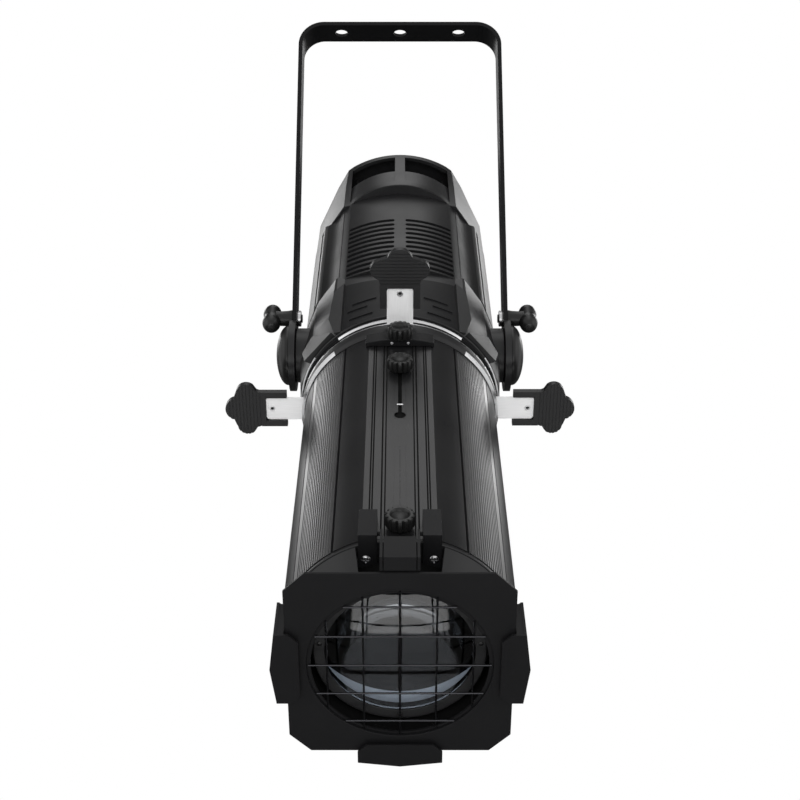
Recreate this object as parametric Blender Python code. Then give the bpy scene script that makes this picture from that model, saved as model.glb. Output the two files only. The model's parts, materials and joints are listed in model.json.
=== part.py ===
"""Ellipsoidal zoom spotlight hanging in its yoke.

World frame: metres, +Z up, origin in the middle of the yoke's top face, where the hanging bolt goes.
The head is modelled in its own frame in millimetres: origin on the tilt axis, -Y along the beam,
+Z towards the focus rail, +X to the right when looking into the beam. The HEAD empty carries that
frame to its place under the yoke.
"""

import math

import bmesh
import bpy
from mathutils import Matrix, Vector

MM = 0.001
GAP = 0.3  # clearance between pieces that rest on each other

# Yoke
YOKE_HALF_WIDTH = 104.3
YOKE_DROP = 359.0
STRAP_THICK = 4.0
STRAP_HALF_WIDTH = 16.0
BEND_RADIUS = 26.0
HANG_HOLE_R = 6.5
HANG_HOLE_X = 60.9
CLAMP_OFFSET = 38.0  # tilt clamp knob above the tilt axis
STUD_R = 4.0
PIVOT_R = 6.0
DISC_R = 34.7
DISC_THICK = 6.0
CAP_R = 29.0

# Head placing
AIM_DEG = 47.13  # beam below the horizontal

# Housing
HOUSING_FRONT = -92.0
HOUSING_SPLIT = 29.0
COVER_REAR = 7.0
CAGE_FRONT = 217.0
CAGE_REAR = 337.0
BOSS_R = 26.3
BOSS_X = YOKE_HALF_WIDTH - STRAP_THICK - GAP
COVER_HALF = 53.0
WALL = 3.5
VENT_ROWS = 11
VENT_PITCH = 11.0
VENT_FIRST = 36.0
VENT_WIDTH = 4.6

# Shutters
BLADE_HALF = 11.5
BLADE_THICK = 0.8
BLADE_PITCH = 1.2
BLADE_FRONT = -102.7
BLADE_END = 121.5
BLADE_WIDE = 30.0
HANDLE_START = 102.5
HANDLE_HALF = 17.6
HANDLE_TIP = 158.5
GATE_R = 87.5
APERTURE_R = 38.0

# Lens tube
TUBE_R = 85.5
TUBE_BORE = 80.5
TUBE_FRONT = -420.5
TUBE_REAR = -121.3
RAIL_HALF = 26.5
RAIL_Z = 82.0
SLOT_HALF = 4.5
KNOB_R = 10.5
KNOB_HEIGHT = 9.6
FOCUS_Y = -406.0
ZOOM_Y = -178.0
LOCK_Y = -131.0

# Front end
PLATE_FRONT = -455.9
PLATE_HALF = 79.375
PLATE_CHAMFER = 15.2
PLATE_OPENING = 65.3
PLATE_THICK = 2.0
LIP_HALF = 30.5
LIP_WEB = 90.5
CLIP_HALF = 13.6
GUARD_DROP = -1.1
GUARD_PITCH = 25.5
WIRE_R = 0.75

BLACK = (0.012, 0.012, 0.013)
SATIN = (0.03, 0.03, 0.032)
STEEL = (0.62, 0.62, 0.63)
GLASS = (0.75, 0.8, 0.85)
GREEN = (0.02, 0.16, 0.06)


# ---------------------------------------------------------------- building blocks


def clear_scene():
    for obj in list(bpy.data.objects):
        bpy.data.objects.remove(obj)


def material(name, colour, rough, metal=0.0):
    mat = bpy.data.materials.get(name) or bpy.data.materials.new(name)
    mat.use_nodes = True
    shader = mat.node_tree.nodes["Principled BSDF"]
    shader.inputs["Base Color"].default_value = (*colour, 1.0)
    shader.inputs["Roughness"].default_value = rough
    shader.inputs["Metallic"].default_value = metal
    return mat


def look(kind):
    looks = {
        "painted": ("black_paint", BLACK, 0.45, 0.0),
        "tube": ("black_anodised", SATIN, 0.4, 0.6),
        "plastic": ("black_plastic", BLACK, 0.5, 0.0),
        "steel": ("stainless", STEEL, 0.25, 1.0),
        "dark_steel": ("blackened_steel", SATIN, 0.45, 1.0),
        "glass": ("lens_glass", GLASS, 0.05, 0.0),
        "board": ("circuit_board", GREEN, 0.6, 0.0),
        "alu": ("aluminium", (0.55, 0.56, 0.57), 0.4, 1.0),
        "rubber": ("black_rubber", BLACK, 0.7, 0.0),
        "led": ("led_phosphor", (0.8, 0.62, 0.12), 0.5, 0.0),
    }
    return material(*looks[kind])


def empty(name, parent=None, at=(0, 0, 0)):
    obj = bpy.data.objects.new(name, None)
    bpy.context.collection.objects.link(obj)
    obj.parent = parent
    obj.location = Vector(at) * MM
    return obj


def add_mesh(name, mesh_data, parent, at=(0, 0, 0), kind="painted"):
    """An object under parent whose origin is at the point `at` of the parent's frame, in millimetres."""
    points, faces = mesh_data
    origin = Vector(at)
    mesh = bpy.data.meshes.new(name)
    mesh.from_pydata([(Vector(p) - origin) * MM for p in points], [], faces)
    shape = bmesh.new()
    shape.from_mesh(mesh)
    bmesh.ops.recalc_face_normals(shape, faces=shape.faces)
    shape.to_mesh(mesh)
    shape.free()
    mesh.materials.append(look(kind))
    mesh.shade_smooth()
    mesh.set_sharp_from_angle(angle=math.radians(35))
    obj = bpy.data.objects.new(name, mesh)
    bpy.context.collection.objects.link(obj)
    obj.parent = parent
    obj.location = origin * MM
    return obj


def combine(obj, mesh_data, operation, tidy_self=False):
    """Boolean of obj with a helper shape given in the same parent frame."""
    helper = add_mesh(f"{obj.name}_{operation.lower()}_{len(obj.modifiers)}", mesh_data, obj.parent)
    helper.hide_render = True
    helper.display_type = "WIRE"
    mod = obj.modifiers.new(operation.title(), "BOOLEAN")
    mod.operation = operation
    mod.solver = "EXACT"
    mod.use_self = tidy_self
    mod.object = helper
    return obj


def cut(obj, *shapes):
    for shape in shapes:
        combine(obj, shape, "DIFFERENCE")
    return obj


def join(obj, *shapes):
    for shape in shapes:
        combine(obj, shape, "UNION")
    return obj


def merged(*shapes):
    """Several closed shapes in one mesh, for one cutter."""
    points, faces = [], []
    for more_points, more_faces in shapes:
        start = len(points)
        points += list(more_points)
        faces += [[start + i for i in face] for face in more_faces]
    return points, faces


def moved(shape, matrix):
    points, faces = shape
    return [matrix @ Vector(p) for p in points], faces


def box(x0, x1, y0, y1, z0, z1):
    points = [(x, y, z) for x in (x0, x1) for y in (y0, y1) for z in (z0, z1)]
    faces = [(0, 1, 3, 2), (4, 6, 7, 5), (0, 4, 5, 1), (2, 3, 7, 6), (0, 2, 6, 4), (1, 5, 7, 3)]
    return points, faces


def loft(rings):
    """A closed solid through rings of equal point count, capped at both ends."""
    count = len(rings[0])
    points = [p for ring in rings for p in ring]
    faces = [list(range(count)), [(len(rings) - 1) * count + i for i in reversed(range(count))]]
    for r in range(len(rings) - 1):
        for i in range(count):
            j = (i + 1) % count
            a, b = r * count, (r + 1) * count
            faces.append((a + i, b + i, b + j, a + j))
    return points, faces


def prism(outline, low, high, axis="Y"):
    """An outline of (u, v) pairs extruded along axis. Y takes (x, z), Z takes (x, y), X takes (y, z)."""
    place = {
        "Y": lambda u, v, w: (u, w, v),
        "Z": lambda u, v, w: (u, v, w),
        "X": lambda u, v, w: (w, u, v),
    }[axis]
    return loft([[place(u, v, w) for u, v in outline] for w in (low, high)])


def arc(centre, radius, start, stop, steps):
    """Points on an arc from start to stop degrees, both ends included."""
    turn = [math.radians(start + (stop - start) * i / steps) for i in range(steps + 1)]
    return [(centre[0] + radius * math.cos(t), centre[1] + radius * math.sin(t)) for t in turn]


def circle(radius, steps, centre=(0, 0)):
    return arc(centre, radius, 0, 360 - 360 / steps, steps - 1)


def rod(radius, low, high, axis="Y", centre=(0, 0), steps=16):
    return prism(circle(radius, steps, centre), low, high, axis)


def turned(profile, axis="Y", centre=(0, 0), steps=36):
    """A solid of revolution from a closed profile of (radius, height) corners, none of them at radius 0
    unless the profile starts and ends there."""
    place = {
        "Y": lambda r, h, t: (centre[0] + r * math.cos(t), h, centre[1] + r * math.sin(t)),
        "X": lambda r, h, t: (h, centre[0] + r * math.cos(t), centre[1] + r * math.sin(t)),
        "Z": lambda r, h, t: (centre[0] + r * math.cos(t), centre[1] + r * math.sin(t), h),
    }[axis]
    on_axis = profile[0][0] == 0
    body = profile[1:-1] if on_axis else profile
    points = [place(r, h, 2 * math.pi * s / steps) for r, h in body for s in range(steps)]
    faces = []
    rows = len(body)
    for k in range(rows if not on_axis else rows - 1):
        a, b = k * steps, (k + 1) % rows * steps
        for s in range(steps):
            t = (s + 1) % steps
            faces.append((a + s, a + t, b + t, b + s))
    if on_axis:
        for (_, height), row in ((profile[0], 0), (profile[-1], rows - 1)):
            points.append(place(0, height, 0))
            hub = len(points) - 1
            for s in range(steps):
                faces.append((hub, row * steps + s, row * steps + (s + 1) % steps))
    return points, faces


def tube(outer, inner, low, high, axis="Y", centre=(0, 0), steps=36):
    return turned([(inner, low), (outer, low), (outer, high), (inner, high)], axis, centre, steps)


def shell(sections):
    """A hollow body through sections (y, outline, wall thickness), open at both ends."""
    outer = [[(x, y, z) for x, z in outline] for y, outline, _ in sections]
    inner = []
    for y, outline, wall in sections:
        scales = [1 - wall / math.hypot(x, z) for x, z in outline]
        inner.append([(x * s, y, z * s) for (x, z), s in zip(outline, scales)])
    count = len(outer[0])
    rings = outer + inner[::-1]
    points = [p for ring in rings for p in ring]
    faces = []
    for r in range(len(rings)):
        a, b = r * count, (r + 1) % len(rings) * count
        for i in range(count):
            j = (i + 1) % count
            faces.append((a + i, a + j, b + j, b + i))
    return points, faces


def sides():
    return (("left", -1), ("right", 1))


# ---------------------------------------------------------------- yoke


def strap_points():
    """Middle line of the strap from the left arm's foot over the top to the right arm's foot, with
    the strap's outward normal and half width at each point."""
    half = YOKE_HALF_WIDTH - STRAP_THICK / 2
    bend = BEND_RADIUS - STRAP_THICK / 2
    top = -STRAP_THICK / 2
    right = []
    for x, z in arc((half - bend, top - bend), bend, 90, 0, 8):
        normal = Vector((x - (half - bend), 0, z - (top - bend))).normalized()
        right.append((Vector((x, 0, z)), normal, STRAP_HALF_WIDTH))
    outward = Vector((1, 0, 0))
    for angle in range(0, 91, 15):
        turn = math.radians(min(angle, 82))
        z = -YOKE_DROP - STRAP_HALF_WIDTH * math.sin(turn)
        right.append((Vector((half, 0, z)), outward, STRAP_HALF_WIDTH * math.cos(turn)))
    flip = Matrix.Scale(-1, 3, (1, 0, 0))
    left = [(flip @ p, flip @ n, w) for p, n, w in reversed(right)]
    return left + right


def yoke_bracket():
    rings = []
    for point, normal, half_width in strap_points():
        reach = normal * STRAP_THICK / 2
        across = Vector((0, half_width, 0))
        rings.append([point - reach - across, point - reach + across, point + reach + across, point + reach - across])
    obj = add_mesh("yoke_bracket", loft(rings), None)
    cut(obj, merged(*[rod(HANG_HOLE_R, -10, 10, "Z", (x, 0)) for x in (-HANG_HOLE_X, 0, HANG_HOLE_X)]))
    reach = YOKE_HALF_WIDTH + 5
    cut(obj, rod(PIVOT_R + GAP, -reach, reach, "X", (0, -YOKE_DROP)))
    cut(obj, rod(STUD_R + GAP, -reach, reach, "X", (0, CLAMP_OFFSET - YOKE_DROP)))


def tilt_hardware(side, sign):
    """Disc, cap, bolt, washer and clamp knob of one yoke arm, mirrored by sign."""
    flip = Matrix.Scale(sign, 4, (1, 0, 0))
    inner = YOKE_HALF_WIDTH - STRAP_THICK
    disc_out = inner + DISC_THICK
    pivot = (0, -YOKE_DROP)
    clamp = (0, CLAMP_OFFSET - YOKE_DROP)

    disc = add_mesh(f"tilt_disc_{side}", moved(tube(DISC_R, PIVOT_R + GAP, inner, disc_out, "X", pivot, 32), flip), None)
    pocket = STRAP_HALF_WIDTH + GAP
    outline = arc(pivot, pocket, 180, 360, 12) + [(pocket, -YOKE_DROP + 50), (-pocket, -YOKE_DROP + 50)]
    cut(disc, moved(rod(9.1, inner - 5, disc_out + 5, "X", clamp, 22), flip))
    cut(disc, moved(prism(outline, inner - 5, YOKE_HALF_WIDTH + GAP, "X"), flip))

    base = disc_out + GAP
    bolt = [(0, 79), (PIVOT_R, 79), (PIVOT_R, base), (CAP_R, base), (28.7, base + 2), (26.2, base + 4.6)]
    bolt += [(20.5, base + 8.6), (16, base + 11), (11, base + 12.5), (0, base + 12.9)]
    add_mesh(f"pivot_bolt_{side}", moved(turned(bolt, "X", pivot, 28), flip), None, kind="plastic")

    washer = tube(7.8, STUD_R + GAP, inner - 3.7, inner - GAP, "X", clamp, 20)
    add_mesh(f"clamp_washer_{side}", moved(washer, flip), None, kind="steel")

    base = YOKE_HALF_WIDTH + GAP
    middle = base + 20.5
    neck = [(0, inner - 5), (STUD_R, inner - 5), (STUD_R, base), (8.5, base), (8.5, middle - 7), (0, middle - 7)]
    knob = add_mesh(
        f"tilt_knob_{side}", moved(turned(neck, "X", clamp, 20), flip), None,
        (sign * middle, *clamp), "plastic",
    )
    bar = [(0, -17.5), (4.5, -16.4), (7.8, -13.4), (9.1, -8.5), (7.8, -2.5), (7.6, 0)]
    bar += [(r, -h) for r, h in reversed(bar[:-1])]
    tilt = Matrix.Rotation(math.radians(-38), 4, "X")
    place = Matrix.Translation((middle, *clamp)) @ tilt
    join(knob, moved(turned(bar, "Z", steps=16), flip @ place))


# ---------------------------------------------------------------- housing


def mirrored_outline(upper, floor):
    """Closed outline from its upper right quarter, crown first, mirrored left to right. The lower half
    repeats the upper one with its heights scaled to end at floor."""
    scale = floor / upper[0][1]
    lower = [(x, z * scale) for x, z in reversed(upper) if z > 0]
    half = upper + lower
    return half + [(-x, z) for x, z in reversed(half) if x > 0]


def crown(height, drop, half, steps=3):
    """Shallow arch from the middle out to half, falling by drop."""
    radius = (half * half + drop * drop) / (2 * drop)
    return [
        (x, height - radius + math.sqrt(radius * radius - x * x))
        for x in (half * i / steps for i in range(steps + 1))
    ]


def body_outline(height, drop, corners, floor=-74.0):
    return mirrored_outline(crown(height, drop, COVER_HALF) + corners, floor)


def pivot_boss():
    return merged(*[rod(BOSS_R, *sorted((sign * 84, sign * BOSS_X)), "X", steps=36) for _, sign in sides()])


def front_housing(head):
    front = body_outline(75.6, 8, [(60, 64), (77, 43), (88, 15), (88.5, 0)])
    bulge = body_outline(75.6, 8, [(62, 66), (81, 44), (93.5, 15), (94.5, 0)])
    rear = body_outline(75.6, 8, [(61, 68), (80, 42), (92, 12), (92.7, 0)])
    wall = WALL + 1
    sections = [(HOUSING_FRONT, front, wall), (-40.0, bulge, wall), (HOUSING_SPLIT, rear, wall)]
    obj = add_mesh("front_housing", shell(sections), head)
    join(obj, pivot_boss())
    cut(obj, rod(PIVOT_R + GAP, -110, 110, "X", steps=20))


def top_cover(head):
    top = crown(79.6, 8.2, COVER_HALF)
    arch = [(-x, z) for x, z in reversed(top)] + top[1:]
    under = [(x, z - 3.4) for x, z in reversed(arch)]
    add_mesh("top_cover", prism(arch + under, HOUSING_FRONT + 1, COVER_REAR), head)


def lamp_outline():
    return body_outline(80.0, 8.5, [(61, 69.5), (80, 42), (92, 12), (92.7, 0)], -78.0)


def lamp_housing(head):
    sections = [(y, lamp_outline(), WALL) for y in (HOUSING_SPLIT + GAP, CAGE_FRONT - GAP)]
    obj = add_mesh("lamp_housing", shell(sections), head)
    slots = []
    for row in range(VENT_ROWS):
        y = VENT_FIRST + row * VENT_PITCH
        for low, high in ((-52.5, -5.5), (5.5, 52.5)):
            slots.append(box(low, high, y - VENT_WIDTH / 2, y + VENT_WIDTH / 2, 60, 90))
    cut(obj, merged(*slots))


def rear_cage(head):
    front = body_outline(90.5, 23.5, [(60.6, 65.5), (78, 40), (91, 14), (92, 0)], -80.0)
    shoulder = body_outline(87.0, 21, [(60.3, 63), (79, 37), (90.5, 14), (91.5, 0)], -80.0)
    back = body_outline(80.0, 14.5, [(59, 61), (71, 40), (81, 18), (82, 0)], -76.0)
    step = 13.0  # the front wall reaches in over the lamp housing's edge
    sections = [(CAGE_FRONT, front, step), (CAGE_FRONT + 3.5, front, step), (CAGE_FRONT + 4, front, WALL)]
    sections += [(285.0, shoulder, WALL), (CAGE_REAR, back, WALL)]
    obj = add_mesh("rear_cage", shell(sections), head)
    windows = [box(low, high, 276, 324, 55, 100) for low, high in ((-54, -5.5), (5.5, 54))]
    windows += [box(low, high, 236, 322, -100, -60) for low, high in ((-50, -30), (-22, -4), (4, 22), (30, 50))]
    for _, sign in sides():
        windows.append(box(*sorted((sign * 70, sign * 100)), 296, 326, 8, 13))
        windows.append(box(*sorted((sign * 70, sign * 100)), 296, 326, -13, -8))
    cut(obj, merged(*windows))
    join(obj, safety_eye())


SOCKETS = (("power_inlet", -34, 6), ("power_outlet", 34, 6), ("data_inlet", -34, -34), ("data_outlet", 34, -34))
BUTTONS = (("menu_button", -27), ("up_button", -9), ("down_button", 9), ("enter_button", 27))
BUTTON_Z = 30.0
DISPLAY = (-24, 24, 40, 56)


def rear_panel(head):
    outline = body_outline(80.0, 14.5, [(59, 61), (71, 40), (81, 18), (82, 0)], -76.0)
    inset = [(x * 0.97, z * 0.97) for x, z in outline]
    low, high = CAGE_REAR + GAP, CAGE_REAR + 3.5
    obj = add_mesh("rear_panel", prism(inset, low, high), head)
    holes = [rod(12.3, low - 5, high + 5, "Y", (x, z)) for _, x, z in SOCKETS]
    holes += [rod(4.3, low - 5, high + 5, "Y", (x, BUTTON_Z), 16) for _, x in BUTTONS]
    x0, x1, z0, z1 = DISPLAY
    holes.append(box(x0, x1, low - 5, high + 5, z0, z1))
    cut(obj, merged(*holes))

    for name, x, z in SOCKETS:
        flange = [(x + a, z + b) for a, b in ((-13, -15.5), (13, -15.5), (13, 15.5), (-13, 15.5))]
        socket = add_mesh(name, prism(flange, high + GAP, high + 2.3), head, kind="plastic")
        join(socket, rod(12.0, low - 15, high + 1.5, "Y", (x, z)))
        cut(socket, rod(9.5, low - 11, high + 5, "Y", (x, z)))
    for name, x in BUTTONS:
        cap = [(0, low - 3), (4.0, low - 3), (4.0, high + 2.6), (3.2, high + 3.2), (0, high + 3.2)]
        add_mesh(name, turned(cap, "Y", (x, BUTTON_Z), 16), head, (x, high, BUTTON_Z), "rubber")
    window = box(x0 + GAP, x1 - GAP, low + 0.5, high - 0.5, z0 + GAP, z1 - GAP)
    add_mesh("display_window", window, head, kind="glass")


def safety_eye():
    """Cast loop under the cage for the safety cable."""
    feet = [(-12.0, -76.5)] + arc((0, -88), 12, 180, 360, 8) + [(12.0, -76.5)]
    inner = [(7.0, -76.5)] + arc((0, -88), 7, 360, 180, 8) + [(-7.0, -76.5)]
    return prism(feet + inner, 222, 228)


def light_engine(head):
    fins = 11
    pitch = 11.0
    reach = (fins - 1) / 2 * pitch + 1.5
    outline = [(-reach, 66), (reach, 66)]
    for i in reversed(range(fins)):
        x = (i - (fins - 1) / 2) * pitch
        outline += [(x + 1.5, 140.0), (x - 1.5, 140.0)]
        if i:
            outline += [(x - 1.5, 74.0), (x - pitch + 1.5, 74.0)]
    add_mesh("heat_sink", prism(outline, -46, 46, "Z"), head, kind="alu")
    board = [(0, 65.7), (30, 65.7), (30, 63.4), (13, 63.4), (13, 61.5), (9, 60.0), (0, 59.4)]
    add_mesh("led_module", turned(board, steps=28), head, kind="board")
    lens = [(0, 30), (30, 30), (44, 22), (50, 12), (50, 8), (0, 8)]
    add_mesh("condenser_lens", turned(lens, steps=36), head, kind="glass")
    holder = [(50.5, 6), (60, 6), (60, 58), (57, 58), (57, 26), (50.5, 26)]
    add_mesh("condenser_holder", turned(holder, steps=36), head, kind="dark_steel")
    board = box(-48, 48, 228, 308, -50, -48)
    add_mesh("driver_board", board, head, kind="board")


FAN_Y = 160.0
FAN_HALF = 56.0


def fan(head):
    frame = prism([(-FAN_HALF, -FAN_HALF), (FAN_HALF, -FAN_HALF), (FAN_HALF, FAN_HALF), (-FAN_HALF, FAN_HALF)],
                  FAN_Y - 11, FAN_Y + 11)
    obj = add_mesh("fan_frame", frame, head, kind="plastic")
    cut(obj, rod(53.5, FAN_Y - 9, FAN_Y + 20, steps=36))
    spokes = merged(*[
        moved(box(19, 55, FAN_Y - 30, FAN_Y - 9, -4, 4), Matrix.Rotation(math.radians(45 + 90 * i), 4, "Y"))
        for i in range(4)
    ])
    opening = add_mesh("fan_guard_cut", tube(52, 22, FAN_Y - 30, FAN_Y - 8.5, steps=36), head)
    combine(opening, spokes, "DIFFERENCE")
    opening.hide_render = True
    opening.display_type = "WIRE"
    mod = obj.modifiers.new("Guard", "BOOLEAN")
    mod.operation = "DIFFERENCE"
    mod.solver = "EXACT"
    mod.object = opening

    hub = [(0, FAN_Y - 8), (19, FAN_Y - 8), (19, FAN_Y + 8), (0, FAN_Y + 8)]
    rotor = add_mesh("fan_rotor", turned(hub, steps=24), head, (0, FAN_Y, 0), "plastic")
    blades = []
    for i in range(7):
        lean = Matrix.Rotation(math.radians(360 / 7 * i), 4, "Y") @ Matrix.Translation((0, FAN_Y, 0))
        blade = moved(box(17, 51, -1, 1, -9, 9), Matrix.Rotation(math.radians(32), 4, "X"))
        blades.append(moved(blade, lean))
    combine(rotor, merged(*blades), "UNION", tidy_self=True)


# ---------------------------------------------------------------- shutters and gate


def gate(barrel):
    rear = [(APERTURE_R, -97.4), (86.5, -97.4), (86.5, -96.2), (88.6, -95.9), (88.6, -93.9), (70, -93.9)]
    rear += [(70, -96.2), (APERTURE_R, -96.2)]
    add_mesh("gate_rear_plate", turned(rear), barrel, kind="dark_steel")
    front = add_mesh("gate_front_plate", tube(GATE_R, APERTURE_R, -104.6, -103.4), barrel, kind="steel")
    across = 80.5 / math.sqrt(2)
    posts = [rod(3.5, -104.0, -97.7, "Y", (a, b), 12) for a in (-across, across) for b in (-across, across)]
    join(front, merged(*posts))
    collar = [(74, -104.9), (88, -104.9), (88, -117.5), (86, -121), (74, -121)]
    add_mesh("gate_collar", turned(collar), barrel)


def bezel_ring(head):
    add_mesh("front_bezel_ring", tube(90.0, 78, -93.6, HOUSING_FRONT - GAP), head, kind="steel")


def handle_outline():
    """Clover handle in (across, outward) coordinates, right half then mirrored."""
    right = [(HANDLE_HALF, HANDLE_START), (HANDLE_HALF, 130.0)]
    right += arc((16.6, 139.0), 9.1, -35, 80, 5)
    right += arc((0, 147.2), 11.3, 12, 90, 4)
    return right + [(-x, z) for x, z in reversed(right[:-1])]


def shutter(barrel, side, turn_deg, level):
    """Blade and handle modelled pointing up, then turned about the beam axis."""
    turn = Matrix.Rotation(math.radians(turn_deg), 4, "Y")
    front = BLADE_FRONT + level * BLADE_PITCH - BLADE_THICK / 2
    back = front + BLADE_THICK
    right = [(BLADE_WIDE, -10.0), (BLADE_WIDE, 22.0), (BLADE_HALF, 28.0), (BLADE_HALF, BLADE_END - 2)]
    right.append((BLADE_HALF - 2, BLADE_END))
    outline = right + [(-x, z) for x, z in reversed(right)]
    blade = add_mesh(f"shutter_blade_{side}", moved(prism(outline, front, back), turn), barrel, kind="steel")
    cut(blade, moved(rod(1.4, front - 5, back + 5, "Y", (0, 116.0), 12), turn))

    body = moved(prism(handle_outline(), front - 2.2, back + 2.8), turn)
    handle = add_mesh(f"shutter_handle_{side}", body, barrel, kind="plastic")
    pocket = box(-BLADE_HALF - GAP, BLADE_HALF + GAP, front - 10, back + GAP, 90, BLADE_END + GAP)
    cut(handle, moved(pocket, turn))


# ---------------------------------------------------------------- lens tube


def flat_topped(radius, flat, steps=44):
    """Circle whose crown is cut flat at height `flat`."""
    edge = math.degrees(math.acos(flat / radius))
    return arc((0, 0), radius, 90 - edge, 90 + edge - 360, steps)


def lens_tube(barrel):
    outline = flat_topped(TUBE_R, RAIL_Z)
    obj = add_mesh("lens_tube", prism(outline, TUBE_FRONT, TUBE_REAR), barrel, kind="tube")
    cut(obj, rod(TUBE_BORE, TUBE_FRONT - 5, TUBE_REAR + 5, steps=44))
    slots = [
        box(-SLOT_HALF, SLOT_HALF, low, high, 70, 90)
        for low, high in ((-256.0, -168.0), (FOCUS_Y - 6, -298.0))
    ]
    cut(obj, merged(*slots))


def front_end_cap(barrel):
    profile = [(63, -424), (85, -424), (85, -420.8), (80.2, -420.8), (80.2, -412), (63, -412)]
    obj = add_mesh("front_end_cap", turned(profile), barrel)
    cut(obj, box(-SLOT_HALF - 1, SLOT_HALF + 1, -420, -405, 60, 81))
    cut(obj, box(-40, 40, -430, -405, RAIL_Z, 95))


def carriage(barrel, name, knob_y, front, rear, sleeve_r, lens_r, bulge):
    """Lens sleeve with its guide flange and knob post, and the lens in it."""
    bore = sleeve_r - 4
    profile = [
        (lens_r - 3, front), (sleeve_r, front), (sleeve_r, rear - 5), (79.5, rear - 5), (79.5, rear),
        (bore, rear), (bore, front + 4), (lens_r - 3, front + 4),
    ]
    obj = add_mesh(f"{name}_lens_carriage", turned(profile), barrel, (0, knob_y, 0), "dark_steel")
    join(obj, rod(4.0, bore + 2, RAIL_Z + 1.6, "Z", (0, knob_y), 16))
    steps = 4
    face = [(lens_r * i / steps, front + 5 - bulge * (1 - (i / steps) ** 2)) for i in range(steps + 1)]
    back = front + 12
    add_mesh(f"{name}_lens", turned(face + [(lens_r, back), (0, back)]), barrel, (0, knob_y, 0), "glass")


def knob_outline(radius, flutes=12):
    outline = []
    for i in range(flutes):
        for part, depth in ((0.0, 0), (0.45, 0), (0.6, 1.3), (0.85, 1.3)):
            turn = 2 * math.pi * (i + part) / flutes
            outline.append(((radius - depth) * math.cos(turn), (radius - depth) * math.sin(turn)))
    return outline


def knob(barrel, name, y, base):
    outline = [(u, v + y) for u, v in knob_outline(KNOB_R)]
    obj = add_mesh(name, prism(outline, base, base + KNOB_HEIGHT, "Z"), barrel, (0, y, base), "plastic")
    top = base + KNOB_HEIGHT
    dish = [(0, top - 2.4), (4, top - 2.4), (7.2, top + 1), (0, top + 1)]
    cut(obj, turned(dish, "Z", (0, y), 16))


def lock_bracket(barrel):
    half = 29.4
    over = [(x, z) for x, z in crown(89.0, 3.6, half)]
    top = [(-x, z) for x, z in reversed(over)] + over[1:]
    rail = RAIL_Z + GAP
    shoulder = math.sqrt((TUBE_R + GAP) ** 2 - half ** 2)
    outline = top + [(half, shoulder + 0.2), (RAIL_HALF - 1, rail), (-RAIL_HALF + 1, rail), (-half, shoulder + 0.2)]
    add_mesh("lock_bracket", prism(outline, -137, TUBE_REAR), barrel)


# ---------------------------------------------------------------- front end


def lip(barrel, side, turn_deg):
    """Bent channel that holds one edge of the colour frame, modelled at +X and turned about the beam."""
    turn = Matrix.Rotation(math.radians(turn_deg), 4, "Y")
    front, foot = PLATE_FRONT - 5, -424 - GAP
    web = LIP_WEB
    peak = 3.8
    ridge = [(web - peak, -LIP_HALF), (web, 0), (web - peak, LIP_HALF)]
    inner = [(x - 2, z) for x, z in reversed(ridge)]
    obj = add_mesh(f"frame_lip_{side}", moved(prism(ridge + inner, front, foot), turn), barrel)
    tongue = [(web - peak - 1, -LIP_HALF), (76.7, -LIP_HALF), (70, -24), (70, 24), (76.7, LIP_HALF)]
    tongue += [(web - peak - 1, LIP_HALF), (web - 1, 0)]
    join(obj, moved(prism(tongue, front, front + 2), turn))
    base = [(74.5, -24), (74.5, 24), (web - peak - 1, LIP_HALF), (web - 1, 0), (web - peak - 1, -LIP_HALF)]
    join(obj, moved(prism(base, foot - 2, foot), turn))


def front_frame(barrel):
    half, cham = PLATE_HALF, PLATE_CHAMFER
    corner = [(half, half - cham), (half - cham, half)]
    outline = []
    for quarter in range(4):
        turn = Matrix.Rotation(math.radians(90 * quarter), 2)
        outline += [tuple(turn @ Vector(p)) for p in corner]
    rear = PLATE_FRONT + PLATE_THICK
    plate = add_mesh("color_frame", prism(outline, PLATE_FRONT, rear), barrel)
    cut(plate, rod(PLATE_OPENING, PLATE_FRONT - 5, rear + 5, steps=48))

    level = rear + GAP
    low = GUARD_DROP
    outline = turned([(62.4, level), (71, level), (71, level + 1.6), (62.4, level + 1.6)], "Y", (0, low), 32)
    ring = add_mesh("wire_guard", outline, barrel, kind="dark_steel")
    bars = []
    for i in range(-2, 3):
        at = GUARD_PITCH * i
        reach = math.sqrt(63.4 ** 2 - at * at)
        front, back = level - 1.6, level + 0.4
        bars.append(box(at - WIRE_R, at + WIRE_R, front, back, low - reach, low + reach))
        bars.append(box(-reach, reach, front, back, low + at - WIRE_R, low + at + WIRE_R))
    combine(ring, merged(*bars), "UNION", tidy_self=True)


HINGE = (-420.0, 86.4)  # y and z of the frame clip's pin


def clip_blocks(barrel):
    for side, sign in sides():
        low, high = sorted((sign * 15.8, sign * 28.8))
        obj = add_mesh(f"clip_block_{side}", box(low, high, -427.4, -396, RAIL_Z + GAP, 90.4), barrel)
        join(obj, box(low, high, -427.4, -424 - GAP, 62.6, 86))
        cut(obj, rod(1.8, low - 5, high + 5, "X", HINGE, 12))


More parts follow.
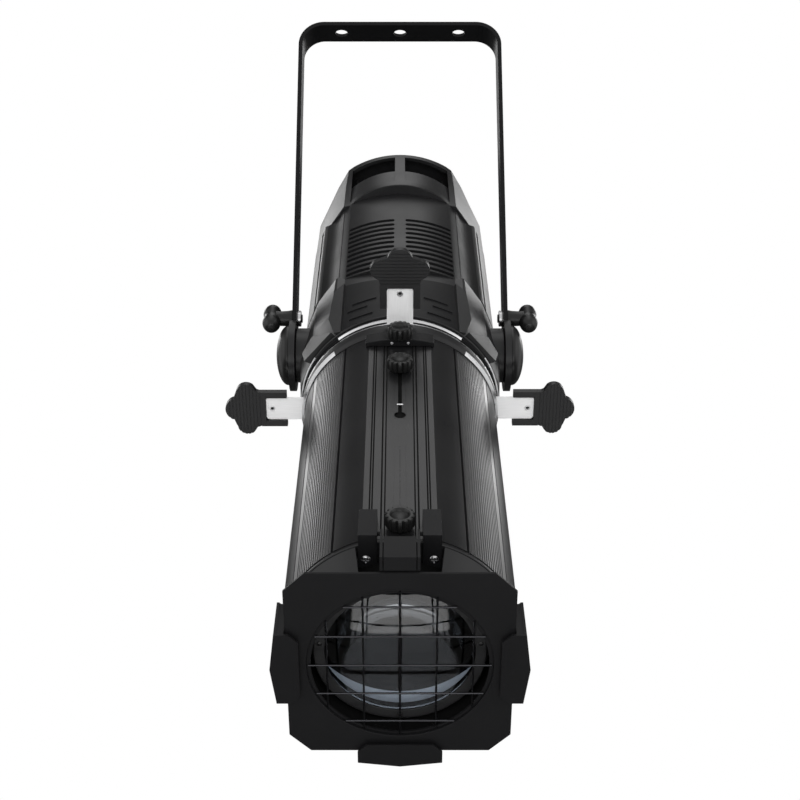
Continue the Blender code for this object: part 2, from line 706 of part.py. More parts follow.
def frame_clip(barrel):
    y, z = HINGE
    front, back, top = PLATE_FRONT - 1, -433.0, 93.5
    plate = box(-CLIP_HALF, CLIP_HALF, front, back, top - 1.6, top)
    obj = add_mesh("frame_clip", plate, barrel, (0, y, z), "plastic")
    flap = box(-CLIP_HALF, CLIP_HALF, front, front + 1.6, 82.6, top - 0.5)
    join(obj, flap)
    outline = [(front, 82.6), (y, z - 3.2), (y + 3.2, z), (y + 1.5, z + 3), (back, top), (front, top)]
    for low, high in ((-CLIP_HALF, -CLIP_HALF + 1.6), (CLIP_HALF - 1.6, CLIP_HALF)):
        join(obj, prism(outline, low, high, "X"))
    for low, high in ((-27.0, -CLIP_HALF + 1), (CLIP_HALF - 1, 27.0)):
        join(obj, rod(1.5, low, high, "X", HINGE, 12))


# ---------------------------------------------------------------- assembly


def build():
    clear_scene()
    yoke_bracket()
    for side, sign in sides():
        tilt_hardware(side, sign)

    head = empty("HEAD", at=(0, 0, -YOKE_DROP))
    head.rotation_euler = (math.radians(AIM_DEG), 0, 0)
    front_housing(head)
    top_cover(head)
    bezel_ring(head)
    lamp_housing(head)
    rear_cage(head)
    rear_panel(head)
    light_engine(head)
    fan(head)

    barrel = empty("BARREL", head)
    gate(barrel)
    for level, (side, turn) in enumerate((("top", 0), ("left", -90), ("right", 90), ("bottom", 180))):
        shutter(barrel, side, turn, level)
    lens_tube(barrel)
    front_end_cap(barrel)
    carriage(barrel, "front", FOCUS_Y, -442.2, -380.0, 61.5, 54.0, 9.0)
    carriage(barrel, "rear", ZOOM_Y, -206.0, -158.0, 66.0, 50.0, 9.0)
    knob(barrel, "focus_knob", FOCUS_Y, RAIL_Z + 1.9)
    knob(barrel, "zoom_knob", ZOOM_Y, RAIL_Z + 1.9)
    lock_bracket(barrel)
    knob(barrel, "barrel_lock_knob", LOCK_Y, 89.3)
    for side, turn in (("right", 0), ("bottom", 90), ("left", 180)):
        lip(barrel, side, turn)
    front_frame(barrel)
    clip_blocks(barrel)
    frame_clip(barrel)


build()
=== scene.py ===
"""Looks of the ellipsoidal spotlight: fine meshes, materials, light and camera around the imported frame.

The head is shaped in its own frame in millimetres: origin on the tilt axis, -Y along the beam,
+Z towards the focus rail, +X to the right when looking into the beam. HEAD carries it to its place.
"""

import json
import math

import bmesh
import bpy
from mathutils import Matrix, Vector


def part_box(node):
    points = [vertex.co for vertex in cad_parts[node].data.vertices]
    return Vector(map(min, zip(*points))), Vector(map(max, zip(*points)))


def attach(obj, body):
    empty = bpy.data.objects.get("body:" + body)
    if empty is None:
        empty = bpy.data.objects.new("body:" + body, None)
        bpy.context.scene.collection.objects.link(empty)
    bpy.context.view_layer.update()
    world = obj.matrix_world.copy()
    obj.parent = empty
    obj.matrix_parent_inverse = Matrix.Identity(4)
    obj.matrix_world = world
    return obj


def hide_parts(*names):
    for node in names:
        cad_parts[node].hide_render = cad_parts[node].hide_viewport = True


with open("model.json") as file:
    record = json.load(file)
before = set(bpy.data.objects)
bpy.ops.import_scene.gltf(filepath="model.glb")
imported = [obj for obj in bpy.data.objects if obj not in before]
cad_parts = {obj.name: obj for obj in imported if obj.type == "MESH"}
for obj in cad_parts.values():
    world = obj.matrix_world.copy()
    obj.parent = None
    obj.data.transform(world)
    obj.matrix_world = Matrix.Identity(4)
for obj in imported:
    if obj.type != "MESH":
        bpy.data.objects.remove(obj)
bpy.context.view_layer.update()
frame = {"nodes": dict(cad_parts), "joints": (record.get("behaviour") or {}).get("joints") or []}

MM = 0.001
JOINTS = {joint["name"]: joint for joint in frame["joints"]}
PIVOT = Vector(JOINTS["housing_tilt"]["pos_m"])
BEAM = Vector(JOINTS["barrel_rotation"]["axis"]).normalized()
AIM = math.atan2(BEAM.z, BEAM.y)
WORLD = Matrix.Scale(MM, 4)
HEAD = Matrix.Translation(PIVOT) @ Matrix.Rotation(AIM, 4, "X") @ Matrix.Scale(MM, 4)

# Yoke
ARM_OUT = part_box("yoke_bracket")[1].x / MM
STRAP = 4.0
STRAP_HALF = 16.0
BEND = 26.0
DROP = -PIVOT.z / MM
CLAMP_Z = 38.0 - DROP
ARM_IN = ARM_OUT - STRAP
HANG_HOLE_X = 60.9
HANG_HOLE_R = 6.5
PIVOT_HOLE_R = 6.3
CLAMP_HOLE_R = 4.3
TILT_DISC = 6.0
CAP_R = 28.9
CAP_DOME = 11.3
KNOB_BAR_HALF = 18.3
THROUGH = 120.0  # how far a cutter across the whole object reaches each way

# Head
FRONT_Y = -92.0
SPLIT_Y = 29.0
COVER_REAR = 7.0
CAGE_FRONT = 217.0
CAGE_REAR = 337.0
COVER_HALF = 53.0
COVER_TOP = 79.0
COVER_DROP = 8.2
VENT_ROWS = 11
VENT_FIRST = 36.0
VENT_PITCH = 11.0
GAP = 0.3

# Shutters, stacked from the front plate rearwards
SHUTTERS = (("top", 0), ("left", -90), ("right", 90), ("bottom", 180))
BLADE_FRONT = -103.1
BLADE_PITCH = 1.2
BLADE_THICK = 0.8
RIVET_Z = 116.0

# Barrel
TUBE_R = 85.5
BORE_R = 80.5
TUBE_FRONT = -420.5
TUBE_REAR = -121.3
RAIL_Z = 82.0
RAIL_HALF = 26.5
CHANNEL_Z = 81.3
GROOVE_Z = 80.0
RAIL_GROOVES = ((10.5, 11.3), (12.9, 13.9), (19.6, 20.5), (21.4, 22.3))
SLOT_HALF = 4.5
SLOT_LIP = (80.6, CHANNEL_Z)
FOCUS_Y = -406.0
ZOOM_Y = -178.0
LOCK_Y = -131.0
KNOB_R = 10.5
KNOB_HEIGHT = 9.6
ZOOM_SLOT = (-256.0, -168.0)
FOCUS_SLOT = (FOCUS_Y - 6, -298.0)
FRONT_CELL = (-442.2, -380.0)
REAR_CELL = (-206.0, -158.0)
LENS_BULGE = 8.6

# Front end
PLATE_Y = -455.9
PLATE_HALF = 79.375
PLATE_CHAMFER = 15.2
PLATE_OPENING = 65.3
GUARD_DROP = -1.1
GUARD_PITCH = 25.5
HINGE = (-420.0, 86.4)


# ---------------------------------------------------------------- shapes, as (points, faces)


def merged(*shapes):
    points, faces = [], []
    for more_points, more_faces in shapes:
        start = len(points)
        points += list(more_points)
        faces += [[start + i for i in face] for face in more_faces]
    return points, faces


def moved(shape, matrix):
    points, faces = shape
    return [matrix @ Vector(p) for p in points], faces


def loft(rings, closed=False):
    """Solid through rings of equal point count, capped at both ends unless closed on itself."""
    count = len(rings[0])
    points = [p for ring in rings for p in ring]
    faces = []
    if not closed:
        faces += [list(range(count)), [(len(rings) - 1) * count + i for i in reversed(range(count))]]
    for r in range(len(rings) if closed else len(rings) - 1):
        a, b = r * count, (r + 1) % len(rings) * count
        for i in range(count):
            j = (i + 1) % count
            faces.append((a + i, a + j, b + j, b + i))
    return points, faces


def box(x0, x1, y0, y1, z0, z1):
    points = [(x, y, z) for x in (x0, x1) for y in (y0, y1) for z in (z0, z1)]
    faces = [(0, 1, 3, 2), (4, 6, 7, 5), (0, 4, 5, 1), (2, 3, 7, 6), (0, 2, 6, 4), (1, 5, 7, 3)]
    return points, faces


def prism(outline, low, high, axis="Y"):
    """Outline of (u, v) pairs extruded along axis. Y takes (x, z), Z takes (x, y), X takes (y, z)."""
    place = {
        "Y": lambda u, v, w: (u, w, v),
        "Z": lambda u, v, w: (u, v, w),
        "X": lambda u, v, w: (w, u, v),
    }[axis]
    return loft([[place(u, v, w) for u, v in outline] for w in (low, high)])


def arc(centre, radius, start, stop, steps):
    turn = [math.radians(start + (stop - start) * i / steps) for i in range(steps + 1)]
    return [(centre[0] + radius * math.cos(t), centre[1] + radius * math.sin(t)) for t in turn]


def circle(radius, steps, centre=(0, 0)):
    return arc(centre, radius, 0, 360 - 360 / steps, steps - 1)


def rod(radius, low, high, axis="Y", centre=(0, 0), steps=32):
    return prism(circle(radius, steps, centre), low, high, axis)


def turned(profile, axis="Y", centre=(0, 0), steps=96):
    """Solid of revolution, capped if its profile starts and ends at radius 0, else closed on itself."""
    place = {
        "Y": lambda r, h, t: (centre[0] + r * math.cos(t), h, centre[1] + r * math.sin(t)),
        "X": lambda r, h, t: (h, centre[0] + r * math.cos(t), centre[1] + r * math.sin(t)),
        "Z": lambda r, h, t: (centre[0] + r * math.cos(t), centre[1] + r * math.sin(t), h),
    }[axis]
    on_axis = profile[0][0] == 0
    body = profile[1:-1] if on_axis else profile
    rings = [[place(r, h, 2 * math.pi * s / steps) for s in range(steps)] for r, h in body]
    if not on_axis:
        return loft(rings, closed=True)
    points, faces = loft(rings)
    faces = faces[2:]
    for height, first in ((profile[0][1], 0), (profile[-1][1], (len(body) - 1) * steps)):
        points.append(place(0, height, 0))
        faces += [(len(points) - 1, first + s, first + (s + 1) % steps) for s in range(steps)]
    return points, faces


def ring(outer, inner, low, high, axis="Y", centre=(0, 0), steps=96):
    return turned([(inner, low), (outer, low), (outer, high), (inner, high)], axis, centre, steps)


def sector(profile, start, stop, steps=40):
    """Part of a ring round the beam, between two angles in degrees measured from +Z towards +X."""
    rings = []
    for i in range(steps + 1):
        t = math.radians(start + (stop - start) * i / steps)
        rings.append([(r * math.sin(t), y, r * math.cos(t)) for r, y in profile])
    return loft(rings)


def shell(sections):
    """Hollow body through sections (y, outline, wall), open at both ends."""
    outer = [[(x, y, z) for x, z in outline] for y, outline, _ in sections]
    inner = []
    for y, outline, wall in sections:
        scales = [1 - wall / math.hypot(x, z) for x, z in outline]
        inner.append([(x * s, y, z * s) for (x, z), s in zip(outline, scales)])
    return loft(outer + inner[::-1], closed=True)


def mirrored(right):
    """Closed outline from the points of its right half, listed from one end to the other."""
    return right + [(-x, z) for x, z in reversed(right) if x > 0.001]


def arched(right):
    """Open arch from the points of its right half, listed from the middle outwards."""
    return [(-x, z) for x, z in reversed(right)] + right[1:]


def band(right, thick):
    """Closed arched strip of even height under the arch of right."""
    arch = arched(right)
    return arch + [(x, z - thick) for x, z in reversed(arch)]


def sides():
    return (("left", -1), ("right", 1))


def flipped(sign):
    """Mirrors in X for sign -1 and leaves alone for sign 1."""
    return Matrix.Scale(sign, 4, (1, 0, 0))


def span(sign, near, far):
    """From near to far on the side that sign says, lower end first."""
    return sorted((sign * near, sign * far))


def rounded(corners, radius, steps=4):
    """Closed outline with each corner rounded."""
    out = []
    count = len(corners)
    for i in range(count):
        here = Vector(corners[i])
        back = (Vector(corners[i - 1]) - here).normalized()
        ahead = (Vector(corners[(i + 1) % count]) - here).normalized()
        for s in range(steps + 1):
            t = s / steps
            out.append(tuple(here + back * radius * (1 - t) ** 2 + ahead * radius * t ** 2))
    return out


def rounded_box(u0, u1, v0, v1, radius):
    return rounded([(u0, v0), (u1, v0), (u1, v1), (u0, v1)], radius)


# ---------------------------------------------------------------- objects


def linked(name, data):
    obj = bpy.data.objects.new(name, data)
    bpy.context.scene.collection.objects.link(obj)
    return obj


def solid(name, shape, frame_matrix=HEAD):
    points, faces = shape
    mesh = bpy.data.meshes.new(name)
    mesh.from_pydata([frame_matrix @ Vector(p) for p in points], [], faces)
    work = bmesh.new()
    work.from_mesh(mesh)
    bmesh.ops.recalc_face_normals(work, faces=work.faces)
    work.to_mesh(mesh)
    work.free()
    return linked(name, mesh)


def boolean(obj, shape, operation, frame_matrix=HEAD, tidy_self=False):
    """Boolean with the EXACT solver, its result kept in the object's mesh."""
    helper = solid("helper", shape, frame_matrix)
    mod = obj.modifiers.new("cut", "BOOLEAN")
    mod.operation = operation
    mod.solver = "EXACT"
    mod.use_self = tidy_self
    mod.object = helper
    bpy.context.view_layer.update()
    graph = bpy.context.evaluated_depsgraph_get()
    done = bpy.data.meshes.new_from_object(obj.evaluated_get(graph))
    obj.modifiers.clear()
    old, obj.data = obj.data, done
    bpy.data.meshes.remove(old)
    helper_mesh = helper.data
    bpy.data.objects.remove(helper)
    bpy.data.meshes.remove(helper_mesh)
    return obj


def cut(obj, *shapes, frame_matrix=HEAD):
    return boolean(obj, merged(*shapes), "DIFFERENCE", frame_matrix)


def join(obj, *shapes, frame_matrix=HEAD):
    for shape in shapes:
        boolean(obj, shape, "UNION", frame_matrix)
    return obj


def dress(obj, body, mat, nodes=(), bevel=0.0, segments=2, sharp=32):
    """Material, shading, edge rounding, the body it rides on and the CAD nodes it stands for."""
    obj.data.materials.clear()
    obj.data.materials.append(mat)
    obj.data.shade_smooth()
    obj.data.set_sharp_from_angle(angle=math.radians(sharp))
    if bevel:
        mod = obj.modifiers.new("edges", "BEVEL")
        mod.width = bevel * MM
        mod.segments = segments
        mod.limit_method = "ANGLE"
        mod.angle_limit = math.radians(sharp)
        mod.harden_normals = True
        mod.use_clamp_overlap = True
    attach(obj, body)
    if nodes:
        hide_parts(*([nodes] if isinstance(nodes, str) else nodes))
    return obj


# ---------------------------------------------------------------- materials


class Nodes:
    """Small helper round a node tree."""

    def __init__(self, tree):
        self.nodes = tree.nodes
        self.links = tree.links

    def feed(self, node, inputs):
        """Links each socket given and sets each plain value, by the input's name or number."""
        for key, value in inputs.items():
            if isinstance(value, bpy.types.NodeSocket):
                self.links.new(value, node.inputs[key])
            else:
                node.inputs[key].default_value = value

    def add(self, kind, inputs=None, **settings):
        node = self.nodes.new(kind)
        for key, value in settings.items():
            setattr(node, key, value)
        self.feed(node, inputs or {})
        return node

    def math(self, operation, *values):
        return self.add("ShaderNodeMath", dict(enumerate(values)), operation=operation).outputs[0]

    def spread(self, value, low, high, from_low=0.0, from_high=1.0, smooth=False):
        node = self.add(
            "ShaderNodeMapRange",
            {"Value": value, "From Min": from_low, "From Max": from_high, "To Min": low, "To Max": high},
            interpolation_type="SMOOTHSTEP" if smooth else "LINEAR",
        )
        return node.outputs["Result"]

    def mix(self, factor, low, high):
        """Colour that runs from low to high with factor."""
        ends = {"Factor": factor, "A": (*low, 1), "B": (*high, 1)}
        return self.add("ShaderNodeMix", ends, data_type="RGBA").outputs["Result"]

    def relief(self, height, strength, distance):
        bump = {"Height": height, "Strength": strength, "Distance": distance}
        return self.add("ShaderNodeBump", bump).outputs[0]


def new_material(name):
    mat = bpy.data.materials.new(name)
    mat.use_nodes = True
    tool = Nodes(mat.node_tree)
    return mat, tool, mat.node_tree.nodes["Principled BSDF"]


def head_coordinates(tool, scale=(1, 1, 1)):
    """Object coordinates turned into the head's frame, still in metres, then scaled per axis."""
    place = tool.add("ShaderNodeTexCoord").outputs["Object"]
    turned_back = tool.add("ShaderNodeMapping", {"Vector": place, "Rotation": (-AIM, 0, 0)})
    return tool.add("ShaderNodeMapping", {"Vector": turned_back.outputs[0], "Scale": scale}).outputs[0]


def noise(tool, vector, scale, detail=2.0, rough=0.5):
    settings = {"Vector": vector, "Scale": scale, "Detail": detail, "Roughness": rough}
    return tool.add("ShaderNodeTexNoise", settings).outputs["Fac"]


def coated(name, base, rough, specular=0.5, grain=1100.0, bump=0.12, streaks=0.0):
    """Painted or moulded surface: fine grain in its bump, slow drifts in tone and roughness, and on
    extrusions long streaks along the beam. grain is the noise scale per metre."""
    mat, tool, shader = new_material(name)
    where = head_coordinates(tool)
    slow = noise(tool, where, 22.0, 3.0)
    fine = noise(tool, where, grain, 3.0, 0.6)
    height = fine
    if streaks:
        along = noise(tool, head_coordinates(tool, (1600, 9, 1600)), 1.0, 2.0)
        height = tool.math("ADD", fine, tool.math("MULTIPLY", along, streaks))
    tone = tool.math("MULTIPLY_ADD", fine, 0.45, tool.math("MULTIPLY", slow, 0.55))
    uneven = tool.math("ADD", tool.math("MULTIPLY", slow, 0.5), tool.math("MULTIPLY", fine, 0.5))
    tool.feed(shader, {
        "Base Color": tool.mix(tone, [c * 0.82 for c in base], [c * 1.2 for c in base]),
        "Roughness": tool.spread(uneven, rough - 0.06, rough + 0.06, 0.3, 0.7),
        "Specular IOR Level": specular,
        "Normal": tool.relief(height, bump, 0.0002),
    })
    return mat


def brushed(name, base, rough, grain, bump=0.12, metal=1.0):
    """Brushed sheet metal. grain is the noise scale per metre along each axis of the head."""
    mat, tool, shader = new_material(name)
    lines = noise(tool, head_coordinates(tool, grain), 1.0, 3.0, 0.6)
    slow = noise(tool, head_coordinates(tool), 40.0, 2.0)
    uneven = tool.math("ADD", tool.math("MULTIPLY", lines, 0.6), tool.math("MULTIPLY", slow, 0.4))
    tool.feed(shader, {
        "Base Color": tool.mix(lines, [c * 0.86 for c in base], [min(1.0, c * 1.1) for c in base]),
        "Roughness": tool.spread(uneven, rough - 0.07, rough + 0.07, 0.3, 0.7),
        "Metallic": metal,
        "Normal": tool.relief(lines, bump, 0.0001),
    })
    return mat


def lens_material(name, tint, bend):
    """Clear glass with faint dust. bend is its index of refraction."""
    mat, tool, shader = new_material(name)
    dust = noise(tool, head_coordinates(tool), 700.0, 4.0, 0.7)
    tool.feed(shader, {
        "Base Color": (*tint, 1),
        "Transmission Weight": 1.0,
        "IOR": bend,
        "Roughness": tool.spread(dust, 0.0, 0.02, 0.55, 0.8),
    })
    return mat


def speckled(name, dark, bright):
    """Textured plate seen deep in the barrel: fine bright spots painted over a dark blue-grey as glints, on a
    real bumpy relief.
    """
    mat, tool, shader = new_material(name)
    cells = tool.add("ShaderNodeTexVoronoi", {"Vector": head_coordinates(tool), "Scale": 300.0})
    from_middle = cells.outputs["Distance"]
    tool.feed(shader, {
        "Base Color": tool.mix(tool.spread(from_middle, 1.0, 0.0, 0.05, 0.6), dark, bright),
        "Roughness": 0.35,
        "Normal": tool.relief(from_middle, 0.6, 0.0006),
    })
    return mat


# coated: colour, roughness, specular level, grain, bump. brushed: colour, roughness, grain, bump, metal.
BLACK = (0.010, 0.010, 0.0105)
CAST = coated("cast_black_coat", BLACK, 0.38, 0.42)
SHEET = coated("sheet_black_coat", (0.0075, 0.0075, 0.008), 0.42, 0.13, 1500.0, 0.08)
TUBE = coated("tube_black_coat", (0.009, 0.009, 0.0095), 0.32, 0.5, 1500.0, 0.05, streaks=0.6)
PLASTIC = coated("black_plastic", (0.008, 0.008, 0.008), 0.34, 0.42, 800.0, 0.08)
HANDLE = coated("handle_plastic", (0.015, 0.015, 0.0155), 0.4, 0.3, 1800.0, 0.1)
RUBBER = coated("button_rubber", (0.03, 0.03, 0.03), 0.65, 0.3, 2200.0, 0.1)
LINER = coated("channel_coat", (0.014, 0.014, 0.0145), 0.5, 0.12, 1100.0, 0.1)
# Near-black matt for grooves, slots, vents and the inside: painted shade, darker than the paint itself.
SHADE_BLACK = coated("painted_shade_black", (0.004, 0.004, 0.004), 0.8, 0.1, 600.0, 0.05)
BLADE_ACROSS = brushed("stainless_across", (0.92, 0.92, 0.925), 0.4, (70, 2500, 2500), 0.08, 0.25)
BLADE_UP = brushed("stainless_up", (0.92, 0.92, 0.925), 0.4, (2500, 2500, 70), 0.08, 0.25)
# Bright metal for real washers and plates, and for bright arcs laid on dark rings as painted highlights.
BRIGHT_AND_HIGHLIGHT = brushed("bright_metal_and_painted_highlight", (0.85, 0.85, 0.86), 0.3, (300, 900, 300), 0.01)
# Pale crescent deep in the front cell: a painted reflection.
REFLECTION_PALE = brushed("painted_reflection_pale", (0.75, 0.79, 0.82), 0.5, (300, 900, 300), 0.02, 0.0)
SCREW = brushed("zinc_screw", (0.85, 0.85, 0.86), 0.3, (900, 900, 900), 0.04)
WIRE = brushed("guard_wire", (0.06, 0.06, 0.065), 0.3, (900, 900, 900), 0.05)
ALUMINIUM = brushed("bare_aluminium", (0.6, 0.6, 0.61), 0.38, (60, 1200, 1200), 0.1)
BOARD = coated("circuit_board_green", (0.02, 0.12, 0.05), 0.5, 0.5, 400.0, 0.05)
PHOSPHOR = coated("led_phosphor", (0.8, 0.6, 0.1), 0.5, 0.5, 700.0, 0.05)
WINDOW = coated("display_black", (0.006, 0.008, 0.010), 0.08, 0.5, 300.0, 0.0)
GLASS = lens_material("lens_glass", (0.88, 0.93, 1.0), 1.5)
COATED_GLASS = lens_material("coated_lens_glass", (0.95, 0.97, 1.0), 1.15)
# Diffuser plate: bright spots in its colour are painted glints.
GLINT_SPECKLE = speckled("diffuser_painted_glints", (0.012, 0.014, 0.016), (0.45, 0.48, 0.50))


# ---------------------------------------------------------------- yoke


def strap_rings():
    """Sections of the bent strap, from one arm's foot over the top to the other's."""
    half = ARM_OUT - STRAP / 2
    bend = BEND - STRAP / 2
    right = []
    for x, z in arc((half - bend, -STRAP / 2 - bend), bend, 90, 0, 20):
        normal = Vector((x - half + bend, 0, z + STRAP / 2 + bend)).normalized()
        right.append((Vector((x, 0, z)), normal, STRAP_HALF))
    for degrees in range(0, 91, 6):
        turn = math.radians(min(degrees, 86))
        z = -DROP - STRAP_HALF * math.sin(turn)
        right.append((Vector((half, 0, z)), Vector((1, 0, 0)), STRAP_HALF * math.cos(turn)))
    flip = Matrix.Scale(-1, 3, (1, 0, 0))
    middle = [(flip @ p, flip @ n, w) for p, n, w in reversed(right)] + right
    rings = []
    for point, normal, wide in middle:
        across = Vector((0, wide, 0))
        inside, outside = point - normal * STRAP / 2, point + normal * STRAP / 2
        rings.append([inside - across, inside + across, outside + across, outside - across])
    return rings


def make_yoke():
    obj = solid("yoke", loft(strap_rings()), WORLD)
    narrow, wide = HANG_HOLE_R, HANG_HOLE_R + 1
    flared = [(0, -5), (narrow, -5), (narrow, -0.9), (wide, 0.1), (wide, 3), (0, 3)]
    holes = [turned(flared, "Z", (x, 0), 40) for x in (-HANG_HOLE_X, 0, HANG_HOLE_X)]
    for hole_r, z in ((PIVOT_HOLE_R, -DROP), (CLAMP_HOLE_R, CLAMP_Z)):
        holes.append(rod(hole_r, -THROUGH, THROUGH, "X", (0, z)))
    cut(obj, *holes, frame_matrix=WORLD)
    dress(obj, "yoke", SHEET, "yoke_bracket", 0.7)


def make_tilt_hardware(side, sign):
    place = WORLD @ flipped(sign)
    pivot, clamp = (0, -DROP), (0, CLAMP_Z)
    out = ARM_IN + TILT_DISC

    disc = solid(f"tilt_plate_{side}", ring(34.7, PIVOT_HOLE_R, ARM_IN, out, "X", pivot), place)
    pocket = STRAP_HALF + GAP
    outline = arc(pivot, pocket, 180, 360, 24) + [(pocket, 50 - DROP), (-pocket, 50 - DROP)]
    cut(disc, rod(9.1, ARM_IN - 5, out + 5, "X", clamp), frame_matrix=place)
    cut(disc, prism(outline, ARM_IN - 5, ARM_OUT + GAP, "X"), frame_matrix=place)
    dress(disc, "yoke", CAST, f"tilt_disc_{side}", 0.6)

    base = out + GAP
    profile = [(0, 79), (6, 79), (6, base), (CAP_R - 0.5, base), (CAP_R, base + 0.5)]
    for degrees in range(90, 0, -6):
        t = math.radians(degrees)
        profile.append((CAP_R * math.sin(t), base + 1.6 + CAP_DOME * math.cos(t)))
    profile.append((0, base + 1.6 + CAP_DOME))
    cap = solid(f"pivot_cap_{side}", turned(profile, "X", pivot), place)
    dress(cap, "yoke", PLASTIC, f"pivot_bolt_{side}", 0.0)

    washer = ring(7.8, CLAMP_HOLE_R, ARM_IN - 3.7, ARM_IN - GAP, "X", clamp, 48)
    washer = solid(f"clamp_washer_bright_{side}", washer, place)
    dress(washer, "yoke", BRIGHT_AND_HIGHLIGHT, f"clamp_washer_{side}", 0.4)

    base = ARM_OUT + GAP
    middle = base + 20.5
    neck = [(0, ARM_IN - 5), (4, ARM_IN - 5), (4, base), (7.9, base), (8.4, base + 0.6), (7.6, base + 5)]
    neck += [(7.2, middle - 8), (7.6, middle - 4), (0, middle - 4)]
    knob = solid(f"clamp_knob_{side}", turned(neck, "X", clamp, 48), place)
    bar = []
    for i in range(25):
        t = math.pi * i / 24
        h = -KNOB_BAR_HALF * math.cos(t)
        bar.append((math.sin(t) ** 0.6 * (9.8 - 2.2 * math.exp(-(h / 5.5) ** 2)), h))
    bar[0], bar[-1] = (0, -KNOB_BAR_HALF), (0, KNOB_BAR_HALF)
    lean = Matrix.Translation((middle, *clamp)) @ Matrix.Rotation(math.radians(-38), 4, "X")
    join(knob, turned(bar, "Z", steps=48), frame_matrix=place @ lean)
    dress(knob, f"tilt_knob_{side}", PLASTIC, f"tilt_knob_{side}", 0.0, sharp=40)


# ---------------------------------------------------------------- housing


def crown_height(x, height, drop, half):
    """Height at x of an arc that falls by drop over half its width."""
    radius = (half * half + drop * drop) / (2 * drop)
    return height - radius + math.sqrt(radius * radius - x * x)


def crown(height, drop, half, steps=12):
    """Right half of a crowned top edge, listed from the middle outwards."""
    return [(half * i / steps, crown_height(half * i / steps, height, drop, half)) for i in range(steps + 1)]


def body_outline(height, drop, corners, floor, steps=12):
    """Outline like the CAD shell's: a crowned top, the flank's corners, and the same below down to floor."""
    upper = crown(height, drop, COVER_HALF, steps) + corners
    scale = floor / height
    lower = [(x, z * scale) for x, z in reversed(upper) if z > 0]
    return mirrored(upper + lower)


def cage_back():
    return body_outline(80.0, 14.5, [(59, 61), (71, 40), (81, 18), (82, 0)], -76.0)


def slab(face, depth):
    """Thin solid under a face of the flank. depth scales the face's distance from the beam for its inside."""
    return loft([[(x * depth, y, z * depth) for x, y, z in face], face])


def make_front_housing():
    rows = [
        (FRONT_Y, 75.4, [(57.5, 66.5), (60, 64.2), (77, 43), (86.5, 17), (88, 10), (88.3, 0)]),
        (-83.0, 75.6, [(58, 67.2), (61, 65.0), (79, 44), (89.5, 18), (91, 10), (91.5, 0)]),
        (-40.0, 75.6, [(60, 68), (63, 65.5), (81, 44), (92.5, 18), (94, 10), (94.4, 0)]),
        (-10.0, 75.6, [(60, 68.5), (63, 66.5), (80.6, 43), (91.5, 16), (93, 9), (93.4, 0)]),
        (SPLIT_Y, 75.6, [(60, 69), (62, 67.5), (80, 42), (91.5, 13), (92.4, 7), (92.7, 0)]),
    ]
    sections = [(y, body_outline(height, 8, corners, -74.0), 4.5) for y, height, corners in rows]
    obj = solid("housing_front", shell(sections))
    boss = [(0, 84), (26.3, 84), (26.3, 99.2), (25.5, ARM_IN - GAP), (0, ARM_IN - GAP)]
    join(obj, *[moved(turned(boss, "X"), flipped(sign)) for _, sign in sides()])
    cut(obj, rod(PIVOT_HOLE_R, -THROUGH, THROUGH, "X"))
    cheek = [(53.2, -91.0, 72.6), (59.0, -91.0, 71.6), (65.0, -62, 70.2)]
    cheek += [(63.2, -30, 71.8), (62, -8, 72.4), (53.2, 6, 74.2)]
    join(obj, *[moved(slab(cheek, 0.9), flipped(sign)) for _, sign in sides()])
    dress(obj, "housing", CAST, "front_housing", 0.6, sharp=14)

    leaf = [(61.5, -89.5, 71.5), (80.4, -66, 55.0), (90.2, -66, 37.5), (86.6, -89.5, 42.0)]
    for side, sign in sides():
        obj = solid(f"cheek_leaf_{side}", moved(slab(leaf, 0.93), flipped(sign)))
        dress(obj, "housing", CAST, (), 0.5)


def emboss_marks():
    """Plain raised bars either side of the cover, in place of any lettering."""
    shapes = []
    for _, sign in sides():
        for row, (low, high) in enumerate(((22, 33), (25, 46), (30, 48), (22, 44))):
            rings = []
            for k in range(9):
                x = low + (high - low) * k / 8
                y = -78 + row * 15 - 0.35 * (x - low)
                z = crown_height(x, COVER_TOP, COVER_DROP, COVER_HALF)
                corners = ((y, z - 1.2), (y + 4.2, z - 1.2), (y + 3.5, z + 0.95), (y + 0.7, z + 0.95))
                rings.append([(sign * x, along, up) for along, up in corners])
            shapes.append(loft(rings))
    return shapes


def make_top_cover():
    top = crown(COVER_TOP, COVER_DROP, COVER_HALF, 24)
    obj = solid("cover_plate", prism(band(top, 3.0), FRONT_Y + 1, COVER_REAR))
    join(obj, *emboss_marks())
    dress(obj, "housing", SHEET, "top_cover", 0.5)
    rim = crown(COVER_TOP + 0.9, COVER_DROP, COVER_HALF - 1, 24)
    obj = solid("cover_rim", prism(band(rim, 2.6), FRONT_Y + 0.2, FRONT_Y + 3.4))
    dress(obj, "housing", CAST, (), 0.6)


